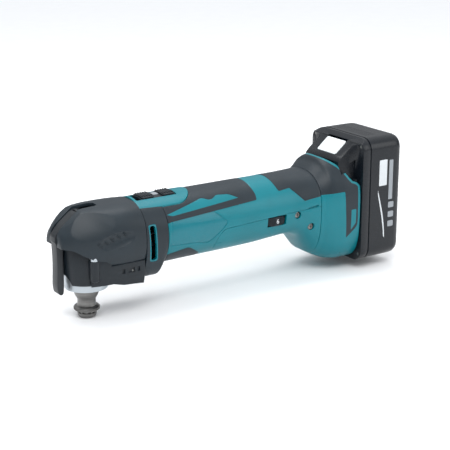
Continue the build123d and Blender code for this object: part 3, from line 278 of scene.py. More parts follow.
def half_space(piece, point, normal):
    """Cut away what lies beyond a plane, and close the cut."""
    bm = bmesh.new()
    bm.from_mesh(piece.data)
    geometry = bm.verts[:] + bm.edges[:] + bm.faces[:]
    cut = bmesh.ops.bisect_plane(bm, geom=geometry, plane_co=Vector(point) * MM, plane_no=Vector(normal),
                                 clear_outer=True)
    edges = [e for e in cut["geom_cut"] if isinstance(e, bmesh.types.BMEdge)]
    bmesh.ops.edgeloop_fill(bm, edges=edges)
    bm.to_mesh(piece.data)
    bm.free()
    return tidy(piece)


def ellipsoid(name, centre, radii, tilt=0.0):
    bm = bmesh.new()
    bmesh.ops.create_uvsphere(bm, u_segments=48, v_segments=24, radius=1.0)
    place = Matrix.Translation(Vector(centre) * MM) @ Matrix.Rotation(math.radians(tilt), 4, "Y")
    place = place @ Matrix.Diagonal([r * MM for r in radii] + [1.0])
    bmesh.ops.transform(bm, matrix=place, verts=bm.verts)
    mesh = bpy.data.meshes.new(name)
    bm.to_mesh(mesh)
    bm.free()
    piece = bpy.data.objects.new(name, mesh)
    bpy.context.scene.collection.objects.link(piece)
    return piece


def turned(name, profile, steps=96, centre=(0, 0)):
    """A piece turned on the lathe about an upright axis, from radius and height pairs."""
    vertices, faces = [], []
    for r, z in profile:
        for i in range(steps):
            a = 2 * math.pi * i / steps
            vertices.append((centre[0] + r * math.cos(a), centre[1] + r * math.sin(a), z))
    rows = len(profile)
    for k in range(rows - 1):
        for i in range(steps):
            j = (i + 1) % steps
            faces.append((k * steps + i, k * steps + j, (k + 1) * steps + j, (k + 1) * steps + i))
    faces += [tuple(range(steps))[::-1], tuple(range((rows - 1) * steps, rows * steps))]
    return tidy(new_piece(name, vertices, faces), 30)


# %% [markdown]
# ## Finishes
# Every finish is a node material on Object coordinates. Two noises do most of the work: a broad one shifts
# the colour and gloss a little, as handling does, and a fine one is the grain that a mould leaves. The
# numbers that are even all over sit on the shader's own sockets.

# %% A finish maker
def finish(name, colour, roughness, grain=0.0, grain_size=0.5, shift=0.12, metallic=0.0, coat=0.0,
           gloss_spread=0.08, stretch=(1, 1, 1), detail=4.0):
    """grain is the bump height and grain_size its spacing, both in millimetres."""
    material = bpy.data.materials.new(name)
    material.use_nodes = True
    nodes, links = material.node_tree.nodes, material.node_tree.links
    shader = nodes["Principled BSDF"]
    place = nodes.new("ShaderNodeTexCoord")
    mapping = nodes.new("ShaderNodeMapping")
    mapping.inputs["Scale"].default_value = stretch
    links.new(place.outputs["Object"], mapping.inputs["Vector"])
    broad = nodes.new("ShaderNodeTexNoise")
    broad.inputs["Scale"].default_value = 38.0
    broad.inputs["Detail"].default_value = 5.0
    links.new(mapping.outputs["Vector"], broad.inputs["Vector"])
    ramp = nodes.new("ShaderNodeValToRGB")
    ramp.color_ramp.elements[0].position, ramp.color_ramp.elements[1].position = 0.3, 0.7
    ramp.color_ramp.elements[0].color = [c * (1 - shift) for c in colour] + [1]
    ramp.color_ramp.elements[1].color = [min(1, c * (1 + shift)) for c in colour] + [1]
    links.new(broad.outputs["Fac"], ramp.inputs["Fac"])
    links.new(ramp.outputs["Color"], shader.inputs["Base Color"])
    gloss = nodes.new("ShaderNodeMapRange")
    gloss.inputs["To Min"].default_value = roughness - gloss_spread
    gloss.inputs["To Max"].default_value = roughness + gloss_spread
    fine = nodes.new("ShaderNodeTexNoise")
    fine.inputs["Scale"].default_value = 1.0 / (grain_size * MM)
    fine.inputs["Detail"].default_value = detail
    links.new(mapping.outputs["Vector"], fine.inputs["Vector"])
    links.new(fine.outputs["Fac"], gloss.inputs["Value"])
    links.new(gloss.outputs["Result"], shader.inputs["Roughness"])
    if grain:
        bump = nodes.new("ShaderNodeBump")
        bump.inputs["Strength"].default_value = 0.6
        bump.inputs["Distance"].default_value = grain * MM
        links.new(fine.outputs["Fac"], bump.inputs["Height"])
        links.new(bump.outputs["Normal"], shader.inputs["Normal"])
    shader.inputs["Metallic"].default_value = metallic
    shader.inputs["Specular IOR Level"].default_value = 0.32
    shader.inputs["Coat Weight"].default_value = coat
    return material


TEAL = finish("moulded_teal", (0.0, 0.145, 0.178), 0.34, grain=0.05, grain_size=0.45, shift=0.06)
BADGE = finish("satin_teal", (0.0, 0.135, 0.17), 0.28, grain=0.015, grain_size=0.3, shift=0.05, coat=0.15)
RUBBER = finish("soft_black_rubber", (0.010, 0.017, 0.023), 0.44, grain=0.09, grain_size=0.38, shift=0.15)
DARK = finish("moulded_black", (0.005, 0.009, 0.013), 0.4, grain=0.04, grain_size=0.5, shift=0.12)
LEVER = finish("satin_black_lever", (0.016, 0.019, 0.022), 0.38, grain=0.02, grain_size=0.4)
PACK = finish("battery_black", (0.004, 0.006, 0.009), 0.28, grain=0.05, grain_size=0.55, shift=0.1)
WHITE = finish("gloss_white", (0.72, 0.76, 0.77), 0.25, grain=0.004, grain_size=0.4, shift=0.02)
INK = finish("printed_grey", (0.25, 0.27, 0.29), 0.35, grain=0.003, grain_size=0.3, shift=0.05)
PALE = finish("printed_silver", (0.56, 0.59, 0.61), 0.32, grain=0.003, grain_size=0.3, shift=0.04)
CAST = finish("cast_aluminium", (0.44, 0.48, 0.51), 0.38, grain=0.06, grain_size=0.35, metallic=0.85,
              shift=0.08)
STEEL = finish("turned_steel", (0.50, 0.50, 0.51), 0.27, grain=0.02, grain_size=0.8, metallic=1.0,
               stretch=(1, 1, 14), shift=0.12)
BLACKED = finish("blackened_steel", (0.17, 0.168, 0.162), 0.3, grain=0.02, grain_size=0.8, metallic=0.95,
                 stretch=(1, 1, 14), shift=0.2)
COPPER = finish("copper_wire", (0.62, 0.26, 0.13), 0.3, grain=0.1, grain_size=0.5, metallic=1.0,
                stretch=(8, 1, 1))
BRASS = finish("stamped_brass", (0.66, 0.5, 0.22), 0.28, grain=0.02, grain_size=0.5, metallic=1.0)
IRON = finish("laminated_iron", (0.34, 0.34, 0.36), 0.4, grain=0.05, grain_size=0.5, metallic=0.9,
              stretch=(12, 1, 1))
FERRITE = finish("sintered_black", (0.035, 0.035, 0.04), 0.6, grain=0.05, grain_size=0.3)
BOARD = finish("green_lacquer", (0.01, 0.12, 0.05), 0.3, grain=0.03, grain_size=1.2, coat=0.3)
WRAP = finish("cell_wrap_blue", (0.02, 0.14, 0.42), 0.25, grain=0.01, grain_size=1.0)
WIRE = finish("red_insulation", (0.42, 0.02, 0.02), 0.4, grain=0.02, grain_size=0.5)


def lens_finish():
    """A clear moulded lens, with the faint streaks of its mould."""
    material = finish("clear_lens", (0.92, 0.95, 1.0), 0.08, grain=0.005, grain_size=0.6, gloss_spread=0.03)
    material.node_tree.nodes["Principled BSDF"].inputs["Transmission Weight"].default_value = 0.8
    return material


LENS = lens_finish()
print("finishes:", len(bpy.data.materials))


# %% [markdown]
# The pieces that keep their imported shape, such as the gear case, the bearings and everything inside, only
# need the right finish. One table says which.

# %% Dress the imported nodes
NODE_FINISHES = {
    TEAL: ("barrel", "lower_rear_cover", "switch_island", "tail_housing"),
    BADGE: ("badge_plates", "vent_frames"),
    RUBBER: ("head_cover", "front_band", "front_grip", "rear_grip", "belly_grip", "tail_grip"),
    DARK: ("head_lower_cover", "slide_switch", "speed_dial", "switch_link", "cooling_fan", "baffle_plate",
           "brush_plate", "rail_plate", "switch_module"),
    LEVER: ("clamp_lever",),
    PACK: ("battery_case_front", "battery_case_rear"),
    WHITE: ("battery_button",),
    CAST: ("gear_housing",),
    STEEL: ("spindle_lower_bearing", "spindle_upper_bearing", "eccentric_bearing", "motor_front_bearing",
            "motor_rear_bearing", "rotor_shaft", "clamp_shaft", "lever_pin", "retaining_ring",
            "clamp_spring", "lever_cam"),
    BLACKED: ("spindle", "fork_arm", "holder_bolt", "head_screws", "body_screws", "battery_screws"),
    IRON: ("motor_yoke", "rotor_core"),
    FERRITE: ("motor_magnets", "carbon_brushes"),
    COPPER: ("armature_windings", "commutator"),
    BRASS: ("brush_holders", "tool_terminals"),
    WRAP: ("battery_cells",),
    INK: ("battery_labels",),
    BOARD: ("controller_board",),
    WIRE: ("power_leads",),
    LENS: ("led_lens",),
}
for material, names in NODE_FINISHES.items():
    for name in names:
        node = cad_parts[name]
        for held in node.material_slots:
            held.material = material
print("dressed", sum(len(names) for names in NODE_FINISHES.values()), "nodes")


def place_piece(piece, body, slot, material, *nodes):
    """Give a finished piece its material and body (the slot argument is not used), and let it stand for its
    nodes.
    """
    piece.data.materials.clear()
    piece.data.materials.append(material)
    for face in piece.data.polygons:
        face.material_index = 0
    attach(piece, body)
    if nodes:
        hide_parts(*nodes)
    print(piece.name, len(piece.data.polygons), "faces")
    return piece


# %% [markdown]
# ## Repeats by Geometry Nodes
# Ribs, knurls and serrations are one small shape many times over. A node tree places the copies from named
# sizes, so that a rib count or a pitch is one number, and the result becomes a plain mesh.

# %% Rows and rings of copies
def repeat(name, unit, material, count, start=(0, 0, 0), step=(0, 0, 0), radius=0.0, axis="Z"):
    """Copies of unit in a row, or, with a radius, in a ring about an axis through start."""
    tree = bpy.data.node_groups.new(name + "_tree", "GeometryNodeTree")
    tree.is_modifier = True
    face = tree.interface
    face.new_socket("Geometry", in_out="INPUT", socket_type="NodeSocketGeometry")
    face.new_socket("Geometry", in_out="OUTPUT", socket_type="NodeSocketGeometry")
    how_many = face.new_socket("Count", in_out="INPUT", socket_type="NodeSocketInt")
    first = face.new_socket("Start", in_out="INPUT", socket_type="NodeSocketVector")
    between = face.new_socket("Step", in_out="INPUT", socket_type="NodeSocketVector")
    reach = face.new_socket("Radius", in_out="INPUT", socket_type="NodeSocketFloat")
    nodes, links = tree.nodes, tree.links
    inputs, outputs = nodes.new("NodeGroupInput"), nodes.new("NodeGroupOutput")
    line = nodes.new("GeometryNodeMeshLine")
    line.mode = "OFFSET"
    links.new(inputs.outputs["Count"], line.inputs["Count"])
    links.new(inputs.outputs["Start"], line.inputs["Start Location"])
    links.new(inputs.outputs["Step"], line.inputs["Offset"])
    onto = nodes.new("GeometryNodeInstanceOnPoints")
    links.new(line.outputs["Mesh"], onto.inputs["Points"])
    links.new(inputs.outputs["Geometry"], onto.inputs["Instance"])
    last = onto.outputs["Instances"]
    if radius:
        index = nodes.new("GeometryNodeInputIndex")
        turn = nodes.new("ShaderNodeMath")
        turn.operation = "DIVIDE"
        links.new(index.outputs["Index"], turn.inputs[0])
        links.new(inputs.outputs["Count"], turn.inputs[1])
        angle = nodes.new("ShaderNodeMath")
        angle.operation = "MULTIPLY"
        angle.inputs[1].default_value = 2 * math.pi
        links.new(turn.outputs[0], angle.inputs[0])
        spin = nodes.new("ShaderNodeCombineXYZ")
        links.new(angle.outputs[0], spin.inputs[axis])
        links.new(spin.outputs["Vector"], onto.inputs["Rotation"])
        out = nodes.new("GeometryNodeTranslateInstances")
        away = nodes.new("ShaderNodeCombineXYZ")
        links.new(inputs.outputs["Radius"], away.inputs["X" if axis == "Z" else "Z"])
        links.new(last, out.inputs["Instances"])
        links.new(away.outputs["Vector"], out.inputs["Translation"])
        last = out.outputs["Instances"]
    real = nodes.new("GeometryNodeRealizeInstances")
    paint = nodes.new("GeometryNodeSetMaterial")
    paint.inputs["Material"].default_value = material
    links.new(last, real.inputs["Geometry"])
    links.new(real.outputs["Geometry"], paint.inputs["Geometry"])
    links.new(paint.outputs["Geometry"], outputs.inputs["Geometry"])
    modifier = unit.modifiers.new("repeat", "NODES")
    modifier.node_group = tree
    modifier[how_many.identifier] = count
    modifier[first.identifier] = tuple(c * MM for c in start)
    modifier[between.identifier] = tuple(c * MM for c in step)
    modifier[reach.identifier] = radius * MM
    unit.name = name
    return bake_mesh(unit)


def bead(name, length, width, height, round_over=0.3):
    """A small rib lying along Y, with softened edges, centred at the origin."""
    outline = [(-width / 2, -height / 2), (width / 2, -height / 2), (width / 2, height / 2),
               (-width / 2, height / 2)]
    return soften(prism(name, outline, "Y", -length / 2, length / 2), round_over, 2)


def join(pieces, name):
    """One mesh from several finished pieces that stay separate shells."""
    bm = bmesh.new()
    for piece in pieces:
        bm.from_mesh(piece.data)
    mesh = bpy.data.meshes.new(name)
    bm.to_mesh(mesh)
    bm.free()
    for piece in pieces:
        drop(piece)
    piece = bpy.data.objects.new(name, mesh)
    bpy.context.scene.collection.objects.link(piece)
    mesh.shade_smooth()
    mesh.set_sharp_from_angle(angle=math.radians(40))
    return piece


# %% [markdown]
# ## The hood
# The head wears a soft moulded hood: blunt at the nose, widening to the handle, with a flat facet on each
# horn, a slot that the clamp lever swings in, and a finger dish on each flank with five crescent ridges.
# It is lofted solid first, faceted with planes while it is still simple, and only then hollowed.

# %% Hood envelope
x = HOOD_X
HOOD_ROWS = [
    (x, 13.2, 30, RADIUS - 19.5, 2.6, 2.8),
    (x + 1.2, 15.0, 30, RADIUS - 16.8, 2.6, 2.8),
    (x + 4, 17.8, 30, RADIUS - 13.0, 2.5, 2.6),
    (x + 9, 21.2, 30, RADIUS - 7.4, 2.4, 2.6),
    (x + 18, 25.6, 30, RADIUS - 0.8, 2.4, 2.7),
    (x + 25, 27.8, 30, RADIUS - 0.1, 2.4, 2.9),
    (x + 36, HOOD_HALF - 1.0, 30, RADIUS + 0.2, 2.4, 3.0),
    (x + 54, HOOD_HALF - 0.2, 30, RADIUS + 0.2, 2.4, 2.9),
    (HOOD_END_X, HOOD_HALF - 0.6, 30, RADIUS, 2.4, 2.5),
]


def curve_points(corners, radius, steps=5):
    """An outline whose corners are rounded; each corner may carry its own radius."""
    points = []
    n = len(corners)
    for i, corner in enumerate(corners):
        r = corner[2] if len(corner) > 2 else radius
        p, a, b = Vector(corner[:2]), Vector(corners[i - 1][:2]), Vector(corners[(i + 1) % n][:2])
        if r <= 0:
            points.append(tuple(p))
            continue
        to_a, to_b = (a - p), (b - p)
        reach = min(r, to_a.length * 0.48, to_b.length * 0.48)
        start, end = p + to_a.normalized() * reach, p + to_b.normalized() * reach
        for k in range(steps + 1):
            t = k / steps
            points.append(tuple((1 - t) ** 2 * start + 2 * t * (1 - t) * p + t**2 * end))
    return points


def rounded(x0, z0, x1, z1, radius):
    """A rectangle with rounded corners."""
    return curve_points([(x0, z0), (x1, z0), (x1, z1), (x0, z1)], radius)


EDGE_Z = box_mm("head_cover")[0][2]
hood_outline = curve_points([
    (x - 2, EDGE_Z + 20, 0), (x - 2, FAR_UP, 0), (HOOD_END_X, FAR_UP, 0), (HOOD_END_X, EDGE_Z + 2.5, 0),
    (22, EDGE_Z, 4), (9.5, EDGE_Z + 0.6, 2.5), (6.5, EDGE_Z + 7, 3), (-3, EDGE_Z + 8.6, 4),
    (-14, EDGE_Z + 14.5, 6), (-20.5, EDGE_Z + 19, 3),
], 3)

# %% Hood mesh
hood = envelope("hood", HOOD_ROWS, count=60)
hood_room = envelope("hood_room", HOOD_ROWS, inset=WALL, count=40, stretch=-1.0)


def facet(place, normal):
    """Flatten the hood by a plane, and its inside by the same plane set a wall lower."""
    half_space(hood, place, normal)
    length = math.sqrt(sum(c * c for c in normal))
    half_space(hood_room, [p - WALL * c / length for p, c in zip(place, normal)], normal)


facet((-8, 0, TOP_Z - 0.6), (-0.62, 0, 0.78))
for side in (-1, 1):
    facet((-11, side * 13.0, TOP_Z - 3.4), (-0.30, side * 0.80, 0.52))
    facet((8, side * 19.5, TOP_Z - 2.6), (-0.16, side * 0.62, 0.76))
    facet((-24, side * 14.5, TOP_Z - 14), (-0.80, side * 0.52, 0.30))
combine(hood, side_prism(hood_outline), "INTERSECT")
combine(hood, hood_room)
combine(hood, prism("hood_mouth", [(24, AXIS_Z), (60, AXIS_Z), (60, 20), (24, 20)], "Y", -24, 24))
slot_half = box_mm("clamp_lever")[1][1] + 0.9
DISH, DISH_SIZE = (11, 34.8, AXIS_Z + 4.5), (27, 7.3, 9.5)
front_way = rounded(x - 9, 20, -8, FAR_UP, 0)
combine(hood, prism("front_way", front_way, "Y", -slot_half, slot_half))
top_way = [(-9, -slot_half), (7, -slot_half), (10, -slot_half + 2), (10, slot_half - 2), (7, slot_half),
           (-9, slot_half)]
combine(hood, prism("top_way", top_way, "Z", TOP_Z - 12, FAR_UP))
for side in (-1, 1):
    combine(hood, ellipsoid("dish", (DISH[0], side * DISH[1], DISH[2]), DISH_SIZE, -9))
soften(hood, 0.5, 2)

# %% Crescent ridges
ridges = []
for side in (-1, 1):
    for i in range(5):
        cx, cz = -0.5 + i * 5.6, AXIS_Z + 2.4 + i * 1.5
        sunk = 1 - ((cx - DISH[0]) / DISH_SIZE[0]) ** 2 - ((cz - DISH[2]) / DISH_SIZE[2]) ** 2
        cy = DISH[1] - DISH_SIZE[1] * math.sqrt(sunk)
        ridge = ellipsoid("ridge", (cx, side * (cy - 0.1), cz), (2.6, 1.1, 0.75), 38)
        ridges.append(ridge)
place_piece(join([hood] + ridges, "hood_cover"), "tool", "black_elastomer", RUBBER, "head_cover")


# %% [markdown]
# ## The lower head
# A harder black moulding closes the head from below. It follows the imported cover's plan, rises behind the
# hood's edge, and is notched at the nose, where the bare casting shows.

# %% Lower head mesh
COLLAR_TOP_Z = 27.0
NOSE_RADIUS = -box_mm("head_lower_cover")[0][0]


def lower_plan(grow):
    radius = NOSE_RADIUS + grow
    turns = [math.radians(a) for a in range(100, 261, 8)]
    front = [(radius * math.cos(a), radius * math.sin(a)) for a in turns]
    side = HOOD_HALF - 3.2 + grow
    return [(HOOD_END_X - 0.4, side)] + [(6, side), (-2.5, side - 0.6), (-7.5, side - 4)] + front + [
        (-7.5, -side + 4), (-2.5, -side + 0.6), (6, -side), (HOOD_END_X - 0.4, -side)]


low_line = [(-60, COLLAR_TOP_Z), (12, COLLAR_TOP_Z - 0.6), (22, COLLAR_TOP_Z - 3.2), (30, 23.2),
            (HOOD_END_X + 2, 21.7)]
under = [(-60, 0)] + low_line + [(HOOD_END_X + 2, 0)]
lower = prism("lower", lower_plan(0), "Z", 18, AXIS_Z)
combine(lower, side_prism(under))
DEEP_ROWS = [(row[0], row[1], 60, *row[3:]) for row in HOOD_ROWS]
combine(lower, envelope("within", DEEP_ROWS, inset=0.6, count=40), "INTERSECT")
above = [(x - 4, EDGE_Z + 20.6), (-20, EDGE_Z + 20.6), (-3, EDGE_Z + 10.4), (7, EDGE_Z + 8.6),
         (10, EDGE_Z + 2.4), (60, EDGE_Z + 2.4), (60, FAR_UP), (x - 4, FAR_UP)]
high_part = copy_of(lower, "high_part")
combine(high_part, side_prism(above), "INTERSECT")
combine(high_part, envelope("behind", DEEP_ROWS, inset=WALL + 0.4, count=40), "INTERSECT")
combine(lower, side_prism(above))
hollow = [(px, z + 2.4) for px, z in low_line]
inner_plan = prism("inner_plan", lower_plan(-2.2), "Z", 10, FAR_UP)
combine(inner_plan, side_prism([(-60, 10)] + hollow + [(HOOD_END_X + 2, 10)]))
combine(lower, copy_of(inner_plan, "inner_twin"))
combine(high_part, inner_plan)
COLLAR_WAY_RADIUS = 19.6
turns = [math.radians(a) for a in range(0, 360, 5)]
ring = [(COLLAR_WAY_RADIUS * math.cos(a), COLLAR_WAY_RADIUS * math.sin(a)) for a in turns]
combine(lower, prism("collar_way", ring, "Z", 0, FAR_UP))
combine(high_part, prism("collar_way", ring, "Z", 0, FAR_UP))
NOTCH_RADIUS, NOTCH_Z = 11, 24
turns = [math.radians(a) for a in range(0, 360, 10)]
combine(lower, loft("nose_notch", [[(end, NOTCH_RADIUS * math.cos(a), NOTCH_Z + NOTCH_RADIUS * math.sin(a))
                                    for a in turns] for end in (-60, -10)]))
for side in (-1, 1):
    for px, wide in ((19, 3.0), (25, 6.0), (33.5, 2.4)):
        opening = [(px, 34.4), (px + wide, 34.2), (px + wide, 38), (px, 38.2)]
        combine(lower, prism("slot", opening, "Y", *sorted((side * 26, side * 40))))
soften(lower, 0.4, 2)
BOSS_X, BOSS_Y = -4.0, 23.6
boss_rows = [(1.2, 30.5), (1.3, 31.0), (2.6, 31.0), (3.6, 31.6), (4.2, 32.6), (4.2, 48.4), (3.8, 48.8),
             (3.5, 48.8), (3.5, 45.5), (1.2, 45.5)]
bosses = [turned("boss", boss_rows, 40, (BOSS_X, side * BOSS_Y)) for side in (-1, 1)]
lower_shell = join([lower, high_part] + bosses, "lower_shell")
place_piece(lower_shell, "tool", "dark_plastic", DARK, "head_lower_cover")


# %% [markdown]
# ## The band
# Behind the hood a deep ring of the same soft plastic carries the cooling slots. It is a loft too, because
# its chin runs lower than the handle and turns in at both ends.

# %% Band mesh
BAND_ROWS = [
    (BAND_X, HOOD_HALF - 0.8, 37.2, RADIUS - 0.1, 2.6, 2.4),
    (BAND_X + 7, HOOD_HALF - 0.8, 38.4, RADIUS - 0.1, 2.7, 2.3),
    (BAND_END_X - 5.5, HOOD_HALF - 1.0, 38.4, RADIUS - 0.1, 2.7, 2.2),
    (BAND_END_X, RADIUS + 0.2, 30.4, RADIUS - 0.1, 2.3, 2.1),
]
band = envelope("band", BAND_ROWS, count=30)
combine(band, envelope("band_hollow", BAND_ROWS, inset=WALL, count=20, stretch=1.0))
island_x, island_end_x = box_mm("switch_island")[0][0], box_mm("switch_island")[1][0]
island_half = box_mm("switch_island")[1][1]


def island_outline(grow):
    half = island_half + grow
    tip_x = island_end_x - half + grow
    tip = [(tip_x + half * math.cos(a * math.pi / 24), half * math.sin(a * math.pi / 24))
           for a in range(-12, 13)]
    return [(island_x - 0.2, -half), *tip, (island_x - 0.2, half)]


combine(band, prism("island_way", island_outline(0.25), "Z", AXIS_Z + 10, FAR_UP))
vent_low, vent_high = box_mm("vent_frames")


def vent_outline(grow):
    low_x, high_x = vent_low[0] + 0.8, vent_high[0] - 0.8
    low_z, high_z = vent_low[2] + 0.8, vent_high[2] - 0.8
    corners = [(low_x - grow, high_z + grow), (low_x + 1.4 - grow, low_z - grow),
               (high_x + grow, low_z - grow), (high_x - 1.4 + grow, high_z + grow)]
    return curve_points(corners, 2.0)


combine(band, side_prism(vent_outline(0.8)))
soften(band, 0.45, 2)
place_piece(band, "tool", "black_elastomer", RUBBER, "front_band")

# %% Vent frames
vents = envelope("vents", [(r[0], r[1] - 0.15, r[2], *r[3:]) for r in BAND_ROWS], count=30)
combine(vents, envelope("vents_hollow", BAND_ROWS, inset=WALL, count=20, stretch=1.0))
combine(vents, side_prism(vent_outline(0.75)), "INTERSECT")
combine(vents, side_prism(vent_outline(-0.35)))
soften(vents, 0.15, 1)
place_piece(vents, "tool", "badge_plastic", BADGE, "vent_frames")


# %% [markdown]
# ## The handle
# The barrel, the lower cover, the soft grips and the badges are all cut from one skin, so that their
# surfaces run on from each other. Each inlay is the skin's outer layer inside a side outline, and the
# barrel gives up the same volume, less a hair of a gap that draws the joint line.

# %% Handle envelope and outlines
r = RADIUS
HANDLE_ROWS = [
    (BODY_X, r + 0.1, r + 0.3, r, 2.2, 2.0),
    (BODY_X + 27, r - 0.1, r + 0.1, r, 2.15, 2.0),
    (BODY_X + 62, r - 0.3, r - 0.1, r, 2.15, 2.0),
    (BODY_X + 92, r - 0.5, r - 0.9, r, 2.25, 2.0),
    (BODY_END_X - 43, r - 0.6, r - 2.8, r, 2.4, 2.0),
    (BODY_END_X - 28, r - 0.5, r - 4.0, r, 2.6, 2.0),
    (BODY_END_X - 16, r, r - 1.0, r, 2.8, 2.1),
    (BODY_END_X - 7, r + 0.5, r + 9.0, r, 2.9, 2.2),
    (BODY_END_X, r + 1.2, r + 18.0, r, 3.0, 2.3),
]
b, t, top = BODY_X, BODY_END_X, TOP_Z + 6
front_grip_outline = curve_points([
    (b - 1, 69.5, 0), (b + 3.5, 70.5, 1.5), (b + 91, 75.2, 1), (b + 92, 79, 2), (b + 89, top, 0),
    (b - 1, top, 0),
], 1)
blade_outline = curve_points([
    (b + 0.6, 76.2, 0.6), (b + 39, 83.4, 2), (b + 45, 81.4, 1), (b + 49, 81.6, 1), (b + 54, 83.6, 2),
    (b + 66, 82.8, 2), (b + 74, 79.2, 0.6), (b + 52, 77.6, 2), (b + 6, 74.6, 1),
], 1)
rear_grip_outline = curve_points([
    (t - 45, top, 0), (t - 41.5, 80, 0.6), (t - 40.5, 78.6, 0.6), (t - 29, 79.6, 0.6), (t - 16.8, 67.4, 0.6),
    (t + 1, 69.4, 0), (t + 1, top, 0),
], 1)
belly_outline = curve_points([(b - 1, 0, 0), (b - 1, 42.0, 0), (b + 21, 45.6, 3),
                              (b + 35, 36.5, 2), (b + 30, 0, 0)], 1)
badge_outline = curve_points([
    (b + 0.8, 50, 1), (b + 4, 71.6, 2), (b + 44.5, 73.9, 1.5), (b + 59, 62, 1.5), (b + 51, 54, 2),
    (b + 40, 46, 2), (b + 24, 48.8, 2),
], 1)
seam_x, seam_z = box_mm("lower_rear_cover")[0][0] + 5.5, box_mm("lower_rear_cover")[1][2] - 4.2


def cover_outline(gap):
    return curve_points([
        (seam_x - 6 + gap, -9, 0), (seam_x - 5.2 + gap, seam_z - 18, 2), (seam_x - 3 + gap, seam_z - 7, 4),
        (seam_x + 3 + gap, seam_z - gap, 4), (t + 2, seam_z + 4.2 - gap, 0), (t + 2, -9, 0),
    ], 2)


# %% Cut the handle's pieces
def skin_patch(name, outline, depth, raise_by=0.0):
    """The outer layer of the handle inside an outline."""
    patch = envelope(name, HANDLE_ROWS, inset=-raise_by, count=64)
    combine(patch, envelope(name + "_core", HANDLE_ROWS, inset=depth, count=64, stretch=1.0))
    return combine(patch, side_prism(outline), "INTERSECT")


def recess(name, outline, depth):
    tool = side_prism(outline)
    return combine(tool, envelope(name + "_core", HANDLE_ROWS, inset=depth, count=64, stretch=1.0))


handle = envelope("handle", HANDLE_ROWS, count=64)
combine(handle, envelope("handle_hollow", HANDLE_ROWS, inset=WALL, count=48, stretch=1.0))
for name, outline, depth in (("front_recess", front_grip_outline, SKIN),
                             ("rear_recess", rear_grip_outline, SKIN),
                             ("belly_recess", belly_outline, SKIN),
                             ("badge_recess", badge_outline, 0.7)):
    combine(handle, recess(name, outline, depth))
combine(handle, prism("island_room", island_outline(0.25), "Z", AXIS_Z + 10, FAR_UP))
dial_low, dial_high = box_mm("speed_dial")
dial_mid = (dial_low + dial_high) / 2
window = rounded(dial_mid[0] - 10, dial_low[2] - 0.4, dial_mid[0] + 10, dial_high[2] + 0.6, 0.8)
combine(handle, prism("dial_window", window, "Y", -60, -18))
screw_low, screw_high = box_mm("body_screws")
SCREWS = [(screw_low[0] + 3.1, screw_high[2] - 3.1), (screw_high[0] - 3.1, screw_low[2] + 3.1)]


def well(name, sx, sz, radius, y_from, y_to):
    ring = [(sx + radius * math.cos(a * math.pi / 16), sz + radius * math.sin(a * math.pi / 16))
            for a in range(32)]
    return prism(name, ring, "Y", y_from, y_to)


for sx, sz in SCREWS:
    for side in (-1, 1):
        combine(handle, well("well", sx, sz, 3.3, *sorted((side * 24.0, side * 60))))
slit = curve_points([(t - 13.5, AXIS_Z + 0.2), (t - 2.5, AXIS_Z + 1.2), (t - 2.5, AXIS_Z + 2.6),
                     (t - 13.5, AXIS_Z + 1.3)], 0.5)
combine(handle, [prism("slit", slit, "Y", -60, -28.6), prism("slit", slit, "Y", 28.6, 60)])
nick = [(seam_x - 2.5, AXIS_Z - 19.5), (seam_x + 1.5, AXIS_Z - 19.5), (seam_x + 1.0, AXIS_Z - 15.5),
        (seam_x - 2.0, AXIS_Z - 15.5)]
combine(handle, [prism("nick", nick, "Y", -60, -24.4), prism("nick", nick, "Y", 24.4, 60)])

# %% Split off the lower rear cover
cover = copy_of(handle, "cover")
combine(cover, side_prism(cover_outline(0.3)), "INTERSECT")
combine(handle, side_prism(cover_outline(0.0)))
soften(cover, 0.3, 2)
soften(handle, 0.3, 2)
handle.name, cover.name = "handle_barrel", "handle_cover"
place_piece(handle, "tool", "teal_plastic", TEAL, "barrel")
place_piece(cover, "tool", "teal_plastic", TEAL, "lower_rear_cover")

# %% Grips and badges
front = skin_patch("grip_front", front_grip_outline, SKIN - 0.05, 0.15)
combine(front, prism("island_room", island_outline(0.4), "Z", AXIS_Z + 10, FAR_UP))
combine(front, recess("blade_recess", blade_outline, 0.55))
soften(front, 0.3, 2)
place_piece(front, "tool", "black_elastomer", RUBBER, "front_grip")
blades = skin_patch("side_blades", blade_outline, 0.5, 0.1)
soften(blades, 0.2, 1)
place_piece(blades, "tool", "teal_plastic", TEAL)
rear = soften(skin_patch("grip_rear", rear_grip_outline, SKIN - 0.05, 0.15), 0.3, 2)
place_piece(rear, "tool", "black_elastomer", RUBBER, "rear_grip")
belly = soften(skin_patch("grip_belly", belly_outline, SKIN - 0.05, 0.1), 0.3, 2)
place_piece(belly, "tool", "black_elastomer", RUBBER, "belly_grip")
badges = soften(skin_patch("badges", badge_outline, 0.65, -0.25), 0.25, 2)
place_piece(badges, "tool", "badge_plastic", BADGE, "badge_plates")


# %% [markdown]
# ## The thumb slide and its island
# The island is a bright shield let into the top. Its slide has cross ribs for the thumb, made as a row by
# Geometry Nodes, and a pale marker between them.

# %% Island and slide
def crown(name, outline, rise, thickness):
    """A plate that follows the round of the handle's top."""
    rows = [(island_x - 3, RADIUS + rise, 20, RADIUS + rise, 2, 2), (island_end_x + 3, RADIUS + rise, 20,
             RADIUS + rise, 2, 2)]
    plate = envelope(name, rows, count=24)
    combine(plate, envelope(name + "_core", rows, inset=thickness, count=24, stretch=1.0))
    return combine(plate, prism(name + "_plan", outline, "Z", AXIS_Z + 12, FAR_UP), "INTERSECT")


knob_low, knob_high = box_mm("slide_switch")
island = crown("island", island_outline(0), 0.8, WALL)
slot_plan = rounded(knob_low[0] - 5.6, -9.2, knob_high[0] + 0.5, 9.2, 1.5)
combine(island, prism("slide_way", slot_plan, "Z", AXIS_Z, FAR_UP))
soften(island, 0.5, 3)
place_piece(island, "tool", "teal_plastic", TEAL, "switch_island")

